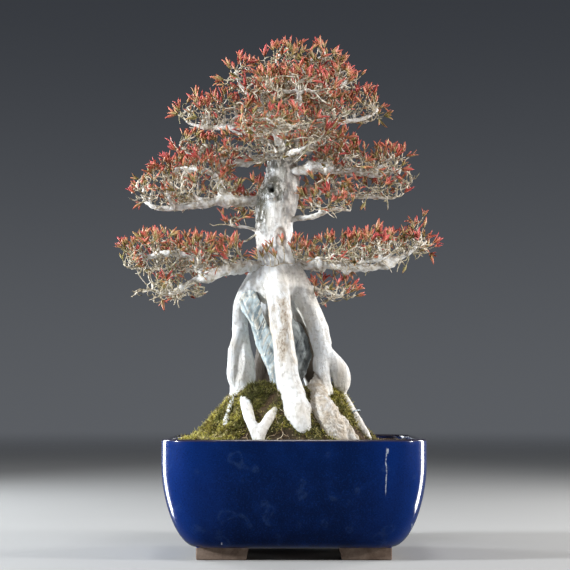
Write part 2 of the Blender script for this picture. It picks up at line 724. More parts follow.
# %% The slab's outline from the front as (x, z), and its slices as (y, share of the outline)
ROCK_OUTLINE = (
    (-0.062, 0.285), (-0.060, 0.292), (-0.051, 0.297), (-0.042, 0.294), (-0.037, 0.276), (-0.029, 0.255),
    (-0.018, 0.250), (-0.004, 0.266), (0.007, 0.258), (0.018, 0.242), (0.021, 0.222),
    (0.015, 0.202), (0.008, 0.186), (0.000, 0.166), (-0.014, 0.162), (-0.023, 0.182),
    (-0.031, 0.206), (-0.043, 0.233), (-0.049, 0.258), (-0.059, 0.272),
)
ROCK_SLICES = ((-0.020, 0.80), (-0.011, 1.0), (0.011, 0.97), (0.022, 0.74))
ROCK_VOXEL = 0.0013
ROCK_LEAN = Vector((0.42, 0.0, -0.91)).normalized()
ROCK_TURN = -0.432
LAYER, CHIP = 0.0009, 0.0022
LAYERS_PER_METRE, LAYERS_ALONG, LAYERS_DEEP = 210, 18, 55
CHIPS_PER_METRE, DENTS_PER_METRE = 85, 38

middle_x = sum(x for x, _ in ROCK_OUTLINE) / len(ROCK_OUTLINE)
middle_z = sum(z for _, z in ROCK_OUTLINE) / len(ROCK_OUTLINE)
rock_rings = [[Vector((middle_x + (x - middle_x) * share, y, middle_z + (z - middle_z) * share))
               for x, z in ROCK_OUTLINE] for y, share in ROCK_SLICES]
rock = fused(mesh_from("rock", *loft_shape(rock_rings)), ROCK_VOXEL, 2)
print("the slab has", len(rock.vertices), "points")

# %% Break its faces into chips and layers
across_lean = ROCK_LEAN.cross(Vector((0, 1, 0))).normalized()
layer_marks = []
for vert, normal in zip(rock.vertices, [vert.normal.copy() for vert in rock.vertices]):
    place = vert.co.copy()
    layered = Vector((place.dot(ROCK_LEAN) * LAYERS_ALONG, place.dot(across_lean) * LAYERS_PER_METRE,
                      place.y * LAYERS_DEEP))
    layer = noise.noise(layered) + 0.6 * noise.noise(layered * 2.3)
    near, far = noise.voronoi(place * CHIPS_PER_METRE)[0][:2]
    crack = 1 - min(1.0, (far - near) * 3)
    vert.co += normal * (LAYER * layer + CHIP * (noise.noise(place * DENTS_PER_METRE) - 0.4 * crack))
    layer_marks.append(max(0.0, -layer) + 0.5 * crack)
give_values(rock, "groove", layer_marks)
rock.shade_smooth()
print("chips and layers on the stone")

# %% Stone
stone = Finish("stone", Specular_IOR_Level=0.35)
lean_turn = stone.start.node("ShaderNodeMapping", None, {"Vector": stone.at, "Rotation": (0, ROCK_TURN, 0)})
along_slab = lean_turn * (1.0, 1.0, 0.16)
left_part = stone.at.part(0).step(-0.006, -0.022)
body = left_part.mixed((0.300, 0.325, 0.325), (0.500, 0.590, 0.620))
shade = left_part.mixed((0.075, 0.090, 0.098), (0.120, 0.185, 0.225))
mottled = along_slab.noise(150, 5, 0.65)
bands = along_slab.noise(300, 4, 0.65).step(0.48, 0.60) * left_part
flecks = stone.at.noise(560, 3, 0.7).step(0.56, 0.68)
seams = along_slab.noise(190, 2, 0.5, 0.6).step(0.36, 0.27)
stone.give("Base Color", body.under(
    (mottled.step(0.42, 0.62), 0.75, shade),
    (bands, 0.85, (0.80, 0.77, 0.68)),
    (flecks, 0.55, (0.42, 0.47, 0.48)),
    (seams, 0.9, (0.015, 0.020, 0.026)),
    (stone.stored("groove").step(0.25, 0.95), 0.6, (0.03, 0.04, 0.05)),
))
stone.give("Roughness", mottled * 0.3 + 0.55)
stone.bump(along_slab.noise(420, 4, 0.7) + stone.at.noise(900, 3, 0.6) * 0.5, 0.0012, 0.8)
place_piece("stone_slab", rock, stone.material, ["rock"])

# %% [markdown]
# ## The pot
#
# The pot is a rectangular box with round corners. Its sides fall straight from the rim and then draw in
# to the floor in a soft belly, and it stands on four feet. Rings of a rounded rectangle, one for each
# height, follow that profile. The feet are joined to it and the drain holes cut, and then the glaze is
# one material that stops above the bare clay of the feet.

# %% The pot's sizes
POT_WIDTH, POT_DEPTH, POT_HEIGHT = 0.287, 0.222, 0.130
POT_CORNER, CORNER_TIGHTENS = 0.040, 0.45
POT_WALL, POT_FLOOR, FOOT_HEIGHT = 0.008, 0.009, 0.013
BELLY_TOP, BELLY_INSET, BELLY_POWER = 0.104, 0.036, 1.8
RIM_ROUND = 0.0024
CORNER_POINTS = 18
FOOT_SIZE = (0.054, 0.042)
FOOT_SPLAY, FOOT_IN, FOOT_EDGE = 0.004, 0.002, 0.0015
DRAIN_RADIUS, DRAIN_SPACING = 0.012, 0.096


def rounded_rectangle(width, depth, corner, z, between=(0, 0)):
    """Points round a rectangle with round corners, with some more along its long and its short sides."""
    arcs = []
    for quarter, (sign_x, sign_y) in enumerate(((1, 1), (-1, 1), (-1, -1), (1, -1))):
        middle = Vector((sign_x * (width / 2 - corner), sign_y * (depth / 2 - corner), z))
        angles = [math.pi / 2 * (quarter + i / (CORNER_POINTS - 1)) for i in range(CORNER_POINTS)]
        arcs.append([middle + Vector((math.cos(a), math.sin(a), 0)) * corner for a in angles])
    points = []
    for arc, following, count in zip(arcs, arcs[1:] + arcs[:1], between * 2):
        points += arc
        points += [arc[-1].lerp(following[0], k / (count + 1)) for k in range(1, count + 1)]
    return points


def belly_inset(z):
    """How far the pot's side has drawn in at a height."""
    drop = min(1, max(0, (BELLY_TOP - z) / (BELLY_TOP - FOOT_HEIGHT)))
    return BELLY_INSET * (1 - (1 - drop**BELLY_POWER) ** (1 / BELLY_POWER))


def pot_ring(z, inwards=0.0, between=(10, 8)):
    """The pot's outline at a height, or a line further in."""
    inset = belly_inset(z) + inwards
    corner = POT_CORNER - CORNER_TIGHTENS * inset
    return rounded_rectangle(POT_WIDTH - 2 * inset, POT_DEPTH - 2 * inset, corner, z, between)


# %% The pot's body, its rim rounded inside and out
OUTER_RINGS, INNER_RINGS, RIM_STEPS, RING_CROWDING = 34, 16, 5, 1.6


def heights(bottom, top, count):
    """Heights for the rings of a wall, closer together where it curves in."""
    return [bottom + (top - bottom) * (i / count) ** RING_CROWDING for i in range(count + 1)]


def rim_rings():
    """Two quarter rounds, over the outer and the inner edge of the rim."""
    outer, inner = [], []
    for k in range(1, RIM_STEPS + 1):
        angle = math.pi / 2 * k / RIM_STEPS
        z = POT_HEIGHT - RIM_ROUND * (1 - math.sin(angle))
        inwards = RIM_ROUND * (1 - math.cos(angle))
        outer.append(pot_ring(z, inwards))
        inner.insert(0, pot_ring(z, POT_WALL - inwards))
    return outer + inner


RIM_FOOT = POT_HEIGHT - RIM_ROUND
outer = [pot_ring(z) for z in heights(FOOT_HEIGHT, RIM_FOOT, OUTER_RINGS)]
inner = [pot_ring(z, POT_WALL) for z in reversed(heights(FOOT_HEIGHT + POT_FLOOR, RIM_FOOT, INNER_RINGS))]
pot_body = mesh_from("pot_body", *loft_shape([*outer, *rim_rings(), *inner]))
print("the pot's body has", len(pot_body.polygons), "faces")


# %% Feet and drain holes
SHARP_ANGLE = 38
DRILL_SIDES = 40


def combined(mesh, others, operation):
    """One Boolean of a mesh with several others."""
    obj = helper(mesh)
    group = bpy.data.collections.new("operands")
    bpy.context.scene.collection.children.link(group)
    for other in others:
        group.objects.link(bpy.data.objects.new(other.name, other))
    step = obj.modifiers.new("combine", "BOOLEAN")
    step.operation = operation
    step.operand_type = "COLLECTION"
    step.collection = group
    step.solver = "MANIFOLD"
    result = baked(obj)
    for operand in list(group.objects):
        bpy.data.objects.remove(operand)
    bpy.data.collections.remove(group)
    return result


def foot(sign_x, sign_y):
    """One foot, narrower below, its edges worn round, sunk into the pot's floor."""
    inset = belly_inset(FOOT_HEIGHT)
    outer_x, outer_y = POT_WIDTH / 2 - inset - FOOT_IN, POT_DEPTH / 2 - inset - FOOT_IN
    points = []
    for z, splay in ((0.0, 0.0), (FOOT_HEIGHT + POT_FLOOR / 2, FOOT_SPLAY)):
        inner_x, inner_y = outer_x - FOOT_SIZE[0] - splay, outer_y - FOOT_SIZE[1] - splay
        corners = ((inner_x, inner_y), (outer_x, inner_y), (outer_x, outer_y), (inner_x, outer_y))
        points += [Vector((sign_x * x, sign_y * y, z)) for x, y in corners]
    sides = [(k, (k + 1) % 4, 4 + (k + 1) % 4, 4 + k) for k in range(4)]
    obj = helper(mesh_from("foot", points, [(0, 1, 2, 3), (4, 5, 6, 7), *sides]))
    edge = obj.modifiers.new("edge", "BEVEL")
    edge.width = FOOT_EDGE
    edge.segments = 3
    return baked(obj)


def drill(side):
    """The round hole that water leaves by."""
    middle = Vector((side * DRAIN_SPACING / 2, 0, 0))
    line = [middle + UP * z for z in (FOOT_HEIGHT / 2, (FOOT_HEIGHT + POT_FLOOR) * 1.3)]
    return mesh_from("drill", *bar_shape(line, [DRAIN_RADIUS] * 2, DRILL_SIDES))


pot = combined(pot_body, [foot(x, y) for x in (-1, 1) for y in (-1, 1)], "UNION")
pot = combined(pot, [drill(-1), drill(1)], "DIFFERENCE")
pot.shade_smooth()
pot.set_sharp_from_angle(angle=math.radians(SHARP_ANGLE))
print("feet and drain holes made")

# %% [markdown]
# ### Cobalt glaze over clay
#
# The glaze is a deep cobalt that is lighter towards the ends, thin and brownish where it runs off the
# rim, and clear on top, so a coat layer carries the sharp reflections over a softer base. It is finely
# speckled, and hard water has left faint rings and a few pale runs on the front. Feet and underside are
# bare, warm clay. One mask by height, with a ragged edge, divides the two.

# %% Glaze, and its pale runs as (x, z, half width, half height) seen from the front
GLAZE_EDGE = 0.0132
RUNS = ((0.0968, 0.096, 0.0007, 0.027), (0.0980, 0.118, 0.0012, 0.003), (-0.0770, 0.0190, 0.0009, 0.0016),
        (0.1260, 0.033, 0.0007, 0.0075))

glaze = Finish("cobalt glaze", IOR=1.45, Specular_IOR_Level=0.15, Coat_Roughness=0.085, Coat_IOR=1.45)
at = glaze.at
height = at.part(2)
side = at.part(0).absolute()
glazed = (height + at.noise(130, 2) * 0.0012).step(GLAZE_EDGE + 0.0002, GLAZE_EDGE + 0.0012)
ends = (side + at.noise(16, 4, 0.55) * 0.05).step(0.075, 0.165)
speckle = at.noise(640, 4, 0.7)
stars = at.cells(900).step(0.16, 0.05) * at.noise(60, 2).step(0.48, 0.66)
stain = at.noise(48, 1, 0.4)
rings = stain.step(0.62, 0.66) * stain.step(0.72, 0.68) * at.noise(220, 3, 0.7).step(0.35, 0.60)
thin = (height + at.noise(90, 3) * 0.0016).step(POT_HEIGHT - 0.0022, POT_HEIGHT - 0.0002)
blue = ends.mixed((0.0007, 0.0075, 0.046), (0.0022, 0.020, 0.135)).under(
    (at.noise(46, 5, 0.65).step(0.40, 0.75), 0.35, (0.0026, 0.022, 0.130)),
    (speckle.step(0.50, 0.66), 0.30, (0.0050, 0.042, 0.210)),
    (speckle.step(0.46, 0.34), 0.50, (0.0004, 0.003, 0.020)),
    (stars, 0.20, (0.08, 0.18, 0.45)),
    (rings, 0.16, (0.045, 0.090, 0.200)),
    (thin, 0.85, (0.030, 0.022, 0.022)),
)
front = at.part(1).step(-0.06, -0.08)
for x, z, half_width, half_height in RUNS:
    off_x = (at.part(0) - x + (at.noise(55, 2) - 0.5) * 0.004).absolute() / half_width
    off_z = (height - z).absolute() / half_height
    run = off_x.larger(off_z).step(1.0, 0.7) * at.noise(240, 3, 0.7).step(0.36, 0.56) * front
    blue = blue.under((run, 0.55, (0.62, 0.66, 0.70)))
clay = at.noise(85, 5, 0.65).ramp((0.30, (0.105, 0.070, 0.052)), (0.70, (0.250, 0.185, 0.145)))
clay = clay.under((at.noise(500, 2).step(0.62, 0.72), 0.5, (0.12, 0.085, 0.065)))
glaze.give("Base Color", glazed.mixed(clay, blue))
glaze.give("Roughness", 0.85 - glazed * 0.57)
glaze.give("Coat Weight", glazed)
glaze.bump(at.noise(70, 3) * glazed * 0.35 + at.noise(700, 3) * (1 - glazed), 0.0006, 0.55)
place_piece("glazed_pot", pot, glaze.material, ["pot"])

# %% [markdown]
# ## Soil, grit and moss
#
# The soil fills the pot and is heaped up against the stone. Its surface follows one formula, which the
# moss cushions use too, so nothing floats. Loose grains on it are scattered by Geometry Nodes: a density
# places the points, each grain is one of a few lumps with few faces, and a stored tint makes some of them
# pale pumice and some dark.

# %% The soil's surface
GAP = 0.00035
SOIL_BELOW_RIM = 0.005
SOIL_EDGE = POT_HEIGHT - SOIL_BELOW_RIM
MOUND_HEIGHT = 0.060
MOUND_MIDDLE, MOUND_TOP, MOUND_FOOT = (-0.010, 0.004), (0.046, 0.040), (0.114, 0.100)
SOIL_LUMP, SOIL_LUMPS_PER_METRE = 0.0016, 60
CLOD, CLODS_PER_METRE, CLOD_SINKS = 0.0009, 260, 0.0004
SOIL_RINGS, WALL_RINGS = 44, 8
SOIL_BETWEEN = (14, 11)
SCREEN_ROOM = 0.0019


def soil_height(x, y):
    """The height of the soil's surface: level at the pot's wall, heaped up against the stone."""
    away_x, away_y = x - MOUND_MIDDLE[0], y - MOUND_MIDDLE[1]
    foot_share = math.hypot(away_x / MOUND_FOOT[0], away_y / MOUND_FOOT[1])
    top_share = math.hypot(away_x / MOUND_TOP[0], away_y / MOUND_TOP[1])
    rise = 1.0
    if top_share > 1:
        t = max(0.0, (1 - foot_share) / (1 - foot_share / top_share))
        rise = t * t * (3 - 2 * t)
    heap = SOIL_LUMP * noise.noise(Vector((x, y, 0)) * SOIL_LUMPS_PER_METRE)
    return SOIL_EDGE + MOUND_HEIGHT * rise + heap


def rough_soil(x, y):
    """The soil's height with its small clods."""
    return soil_height(x, y) + CLOD * noise.noise(Vector((x, y, 0)) * CLODS_PER_METRE) - CLOD_SINKS


soil_rings = [pot_ring(z, POT_WALL + GAP, SOIL_BETWEEN)
              for z in heights(FOOT_HEIGHT + POT_FLOOR, SOIL_EDGE - 0.003, WALL_RINGS)]
for point in soil_rings[0]:
    point.z += SCREEN_ROOM
soil_edge = pot_ring(SOIL_EDGE, POT_WALL + GAP, SOIL_BETWEEN)
for k in range(SOIL_RINGS):
    share = 1 - k / SOIL_RINGS
    places = [(p.x * share, p.y * share) for p in soil_edge]
    soil_rings.append([Vector((x, y, rough_soil(x, y))) for x, y in places])
soil = mesh_from("soil", *loft_shape(soil_rings))
wood_surface = BVHTree.FromPolygons([v.co - POT_MIDDLE for v in wood_object.data.vertices],
                                    [p.vertices[:] for p in wood_object.data.polygons])
print("the soil has", len(soil.polygons), "faces")

# %% Moss on it: middle x and y, half width, half depth, thickness, how shaded, and tufts to a square metre
MOSSES = {
    "moss_left": (-0.092, -0.048, 0.036, 0.040, 0.0065, 0.0, 210000.0),
    "moss_saddle": (-0.038, -0.034, 0.019, 0.021, 0.0070, 0.8, 190000.0),
    "moss_right": (0.054, -0.018, 0.019, 0.026, 0.0080, 0.10, 190000.0),
    "moss_back": (-0.004, 0.070, 0.056, 0.024, 0.0060, 0.3, 60000.0),
}
PATCHES_PER_METRE, FRINGES_PER_METRE = 62, 70
PATCHES_REACH, FRINGES_REACH = (0.040, 0.012), (0.006, 0.001)


def in_moss(x, y, margin=0.9):
    """Whether a place on the soil lies under one of the moss patches."""
    return any(math.hypot((x - middle_x) / half_width, (y - middle_y) / half_depth) < margin
               for middle_x, middle_y, half_width, half_depth, *_ in MOSSES.values())


openness, rim_marks, mossy = [], [], []
for vert in soil.vertices:
    x, y, z = vert.co
    on_top = z > SOIL_EDGE - 0.0025 and not in_moss(x, y)
    away = wood_surface.find_nearest(vert.co)[3]
    patchy = soft_step(noise.noise(Vector((x, y, 0)) * PATCHES_PER_METRE), 0.10, 0.24)
    fringe = soft_step(noise.noise(Vector((x, y, 1)) * FRINGES_PER_METRE), -0.22, 0.02)
    found = max(fringe * soft_step(away, *FRINGES_REACH), patchy * soft_step(away, *PATCHES_REACH))
    mossy.append(found if on_top else 0.0)
    openness.append(1.0 - 0.7 * mossy[-1] if on_top else 0.0)
    rim_marks.append(max(abs(x) / (POT_WIDTH / 2), abs(y) / (POT_DEPTH / 2)))
give_values(soil, "open", openness)
give_values(soil, "rim", rim_marks)
give_values(soil, "green", mossy)
print("open soil at", round(sum(openness)), "and moss at", round(sum(mossy)), "of", len(mossy), "points")


# %% Shapes to scatter
def grain(name, seed, flat):
    """A grain: a ball of twenty faces, pushed about."""
    shape = bmesh.new()
    bmesh.ops.create_icosphere(shape, subdivisions=1, radius=0.5)
    chance = random.Random(seed)
    for vert in shape.verts:
        vert.co *= chance.uniform(0.72, 1.12)
        vert.co.z *= flat
    mesh = bpy.data.meshes.new(name)
    shape.to_mesh(mesh)
    shape.free()
    return mesh


def strand_shape(base, heading, bend, length, width, pieces):
    """A thin three-sided strand that bends over and ends in a point, with how far up it each point lies."""
    shares = [i / pieces for i in range(pieces + 1)]
    line = [base + heading * (length * t) + bend * (length * t * t) for t in shares]
    points, marks = [], []
    across = heading.cross(Vector((0.3, 0.5, 0.81))).normalized()
    up = heading.cross(across)
    for place, t in zip(line[:-1], shares):
        for k in range(3):
            angle = math.tau * k / 3
            points.append(place + (across * math.cos(angle) + up * math.sin(angle)) * width * (1 - 0.6 * t))
            marks.append(t)
    last = len(points) - 3
    sides = [(last + k, last + (k + 1) % 3, last + 3) for k in range(3)]
    return [*points, line[-1]], [*wall_faces(pieces, 3), *sides, (2, 1, 0)], [*marks, 1.0]


def tuft(name, seed, strands, length, lean):
    """A tuft of moss: a few bent strands from one root."""
    chance = random.Random(seed)
    shapes, marks = [], []
    for _ in range(strands):
        angle = chance.uniform(0, math.tau)
        out = Vector((math.cos(angle), math.sin(angle), 0))
        heading = (UP + out * chance.uniform(0.2, lean)).normalized()
        bend = out * chance.uniform(0.0, 0.5) - UP * chance.uniform(0.0, 0.35)
        long = length * chance.uniform(0.6, 1.1)
        points, faces, along = strand_shape(out * 0.12, heading, bend, long, 0.075, 2)
        shapes.append((points, faces))
        marks += along
    mesh = mesh_from(name, *joined_shapes(shapes), smooth=False)
    give_values(mesh, "along", marks)
    return mesh


def shelf(name, meshes):
    """A collection of small shapes that a tree can pick from."""
    group = bpy.data.collections.new(name)
    bpy.context.scene.collection.children.link(group)
    for mesh in meshes:
        group.objects.link(bpy.data.objects.new(mesh.name, mesh))
    return group


def clear_shelf(group):
    """Removes a shelf with its shapes, which have no place in the scene."""
    for obj in list(group.objects):
        bpy.data.objects.remove(obj)
    bpy.data.collections.remove(group)


grains = shelf("grains", [grain(f"grain_{k}", k, flat) for k, flat in enumerate((0.95, 0.7, 0.85))])
tufts = shelf("tufts", [tuft(f"tuft_{k}", 20 + k, 5, 1.0, 1.1) for k in range(4)])


# %% The tree that scatters them
def set_out(points, shapes, which, turn, size):
    """A copy of one of a shelf's shapes on each point."""
    picked = points.node("GeometryNodeCollectionInfo", None,
                         {"Collection": shapes, "Separate Children": True, "Reset Children": True})
    return points.node("GeometryNodeInstanceOnPoints", None, {
        "Points": points, "Instance": picked, "Pick Instance": True, "Instance Index": which,
        "Rotation": turn, "Scale": size,
    })


def scatter_tree(finish):
    """Scatters the shelf's shapes over a surface's open places, each turned, scaled and tinted by chance."""
    tree, given = geometry_tree("scattered over a surface", {
        "Density": "Float", "Smallest": "Float", "Largest": "Float", "Tilt": "Float", "Seed": "Int",
        "Shapes": "Collection",
    })
    surface = given["Geometry"]
    here = surface.node("GeometryNodeInputNamedAttribute", {"data_type": "FLOAT"}, {"Name": "open"})
    cloud = surface.node("GeometryNodeDistributePointsOnFaces", {"distribute_method": "RANDOM"},
                         {"Mesh": surface, "Density": given["Density"] * here, "Seed": given["Seed"]})
    stand = Value(tree, cloud.socket.node.outputs[2])

    def chance(low, high, seed, kind="FLOAT"):
        """A number, vector or count that each point draws for itself."""
        slots = {"FLOAT": (2, 3, 1), "FLOAT_VECTOR": (0, 1, 0), "INT": (4, 5, 2)}[kind]
        return surface.node("FunctionNodeRandomValue", {"data_type": kind},
                            {slots[0]: low, slots[1]: high, 8: seed}, slots[2])

    lean = chance((-1, -1, -1), (1, 1, 1), 1, "FLOAT_VECTOR") * given["Tilt"]
    spin = chance((0, 0, 0), (0, 0, 6.28), 2, "FLOAT_VECTOR")
    turn = lean.node("FunctionNodeEulerToRotation", None, {0: lean + spin})
    turned = stand.node("FunctionNodeRotateRotation", {"rotation_space": "LOCAL"}, {0: stand, 1: turn})
    tinted = cloud.node("GeometryNodeStoreNamedAttribute", {"data_type": "FLOAT", "domain": "POINT"},
                        {"Geometry": cloud, "Name": "tint", "Value": chance(0.0, 1.0, 3)})
    size = chance(given["Smallest"], given["Largest"], 4)
    copies = set_out(tinted, given["Shapes"], chance(0, 9, 5, "INT"), turned, size)
    end_tree(tree, copies, finish)
    return tree


# %% Soil and grain finishes
earth = Finish("soil", Roughness=0.95, Specular_IOR_Level=0.2)
clods = earth.at.noise(260, 5, 0.7)
damp = earth.at.noise(30, 3).step(0.35, 0.65)
earth.give("Base Color", damp.mixed((0.080, 0.052, 0.030), (0.034, 0.023, 0.014)).under(
    (clods.step(0.52, 0.72), 0.7, (0.20, 0.14, 0.080)),
    (earth.stored("green"), 0.8, (0.055, 0.058, 0.016)),
))
earth.bump(clods, 0.0018)

grain_finish = Finish("grains", Roughness=0.92, Specular_IOR_Level=0.2)
tint = grain_finish.stored("tint")
near_rim = grain_finish.stored("rim").step(0.80, 0.97)
dull = tint.ramp((0.0, (0.030, 0.020, 0.014)), (0.45, (0.085, 0.052, 0.028)), (0.80, (0.20, 0.125, 0.066)),
                 (1.0, (0.36, 0.28, 0.19)))
light = tint.ramp((0.0, (0.13, 0.095, 0.065)), (0.5, (0.34, 0.28, 0.21)), (1.0, (0.62, 0.56, 0.47)))
rough = grain_finish.at.noise(900, 3, 0.7)
colour = near_rim.mixed(dull, light).under((rough.step(0.2, 0.8), 0.35, (0.05, 0.036, 0.024)))
grain_finish.give("Base Color", colour)
grain_finish.bump(rough, 0.0010)
print("soil finishes ready")

# %% Scatter the grains
GRAIN_TREE = scatter_tree(grain_finish.material)
loose = run_tree(GRAIN_TREE, soil.copy(), {
    "Density": 62000.0, "Smallest": 0.0011, "Largest": 0.0030, "Tilt": 3.14, "Seed": 11, "Shapes": grains,
})
loose.shade_flat()
place_piece("soil_mound", soil, earth.material, ["soil"])
place_piece("soil_grains", loose)

# %% [markdown]
# ### Moss
#
# The moss is a mat of fine strands, yellow-green where the light reaches it and dark green to brown below,
# with dry tufts the colour of straw. Each patch is a lumpy cushion on the soil, and tufts of five strands
# cover it. The strands' tips are lighter than their roots, which is what makes the mat look deep.

# %% Moss finish
moss_finish = Finish("moss", Roughness=0.85, Specular_IOR_Level=0.15)
tint = moss_finish.stored("tint")
lit = moss_finish.at.noise(60, 4, 0.6).step(0.40, 0.60)
lively = lit.mixed((0.165, 0.165, 0.030), (0.680, 0.620, 0.130)).under(
    (tint.step(0.55, 1.0), 0.80, (0.800, 0.700, 0.360)),
    (tint.step(0.30, 0.08), 0.85, (0.190, 0.115, 0.052)),
    (moss_finish.stored("shade"), 0.80, (0.038, 0.048, 0.014)),
)
up_strand = moss_finish.stored("along").step(0.0, 0.75)
moss_finish.give("Base Color", up_strand.mixed((0.024, 0.020, 0.009), lively))
moss_finish.bump(moss_finish.at.noise(700, 3), 0.0010)
print("moss finish ready")

# %% Moss cushions and their tufts
MOSS_RINGS, MOSS_POINTS = 12, 44
MOSS_WAVE, MOSS_LUMPS = 0.18, ((0.0030, 70), (0.0012, 210))
MOSS_SINKS, MOSS_MIDDLE = 0.004, 0.04
TUFT_TREE = scatter_tree(moss_finish.material)


def cushion(middle_x, middle_y, half_width, half_depth, thick, shade):
    """A lumpy cushion that follows the soil and reaches down into it."""
    rings = []
    for r in range(MOSS_RINGS + 1):
        share = MOSS_MIDDLE + (1 - MOSS_MIDDLE) * r / MOSS_RINGS
        ring = []
        for k in range(MOSS_POINTS):
            angle = math.tau * k / MOSS_POINTS
            wave = noise.noise(Vector((math.cos(angle), math.sin(angle), middle_x / thick)))
            ripple = 1 + MOSS_WAVE * wave
            x = middle_x + half_width * share * ripple * math.cos(angle)
            y = middle_y + half_depth * share * ripple * math.sin(angle)
            lift = sum(high * noise.noise(Vector((x, y, 0)) * per_metre) for high, per_metre in MOSS_LUMPS)
            ring.append(Vector((x, y, soil_height(x, y) + 0.8 * thick * math.sqrt(1 - share**2) + lift)))
        rings.insert(0, ring)
    sunk = [point - UP * (thick + MOSS_SINKS) for point in rings[0]]
    mesh = mesh_from("cushion", *loft_shape([sunk, *rings]))
    count = len(mesh.vertices)
    give_values(mesh, "open", [0.0 if k < MOSS_POINTS else 1.0 for k in range(count)])
    give_values(mesh, "along", [0.25] * count)
    give_values(mesh, "tint", [0.5] * count)
    give_values(mesh, "shade", [shade] * count)
    return mesh


for number, (name, (*patch, density)) in enumerate(MOSSES.items()):
    base = cushion(*patch)
    strands = run_tree(TUFT_TREE, base.copy(), {
        "Density": density, "Smallest": 0.0026, "Largest": 0.0068, "Tilt": 0.9, "Seed": 40 + number,
        "Shapes": tufts,
    })
    place_piece(name + "_cushion", base, moss_finish.material, [name])
    place_piece(name + "_strands", strands)

# %% Small tufts on the open soil, thickest where it meets the wood
ground = soil.copy()
ground.transform(Matrix.Translation(-POT_MIDDLE))
ground.attributes["open"].data.foreach_set("value", mossy)
give_values(ground, "shade", [0.5 * soft_step(-vert.co.y, 0.10, 0.02) for vert in ground.vertices])
bits = run_tree(TUFT_TREE, ground, {
    "Density": 120000.0, "Smallest": 0.0020, "Largest": 0.0056, "Tilt": 0.9, "Seed": 60, "Shapes": tufts,
})
place_piece("moss_bits", bits)

# %% [markdown]
# ## The branches
#
# Each branch is a limb from the trunk that forks into flat pads of twigs, and every twig ends in a pair
# or a cluster of narrow young leaves. Twigs compete for room, and a simple rule copies that: points are
# scattered through the pad, each pulls at the nearest twig, and the twig grows a step towards the points
# that pull at it, until it reaches them. The rule is run twice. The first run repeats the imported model's
# own twigs, with the same seed, so the form is the same. The second run fills the pad with finer ones,
# which also lean up and outwards and stop at the pad's edge. Last, every point moves a little to one
# side, because old wood isn't straight.
#
# Each branch below has its limbs as lines of places, its radius at the trunk, and its pads, each as
# middle x, y, z, half width, half depth and half height.

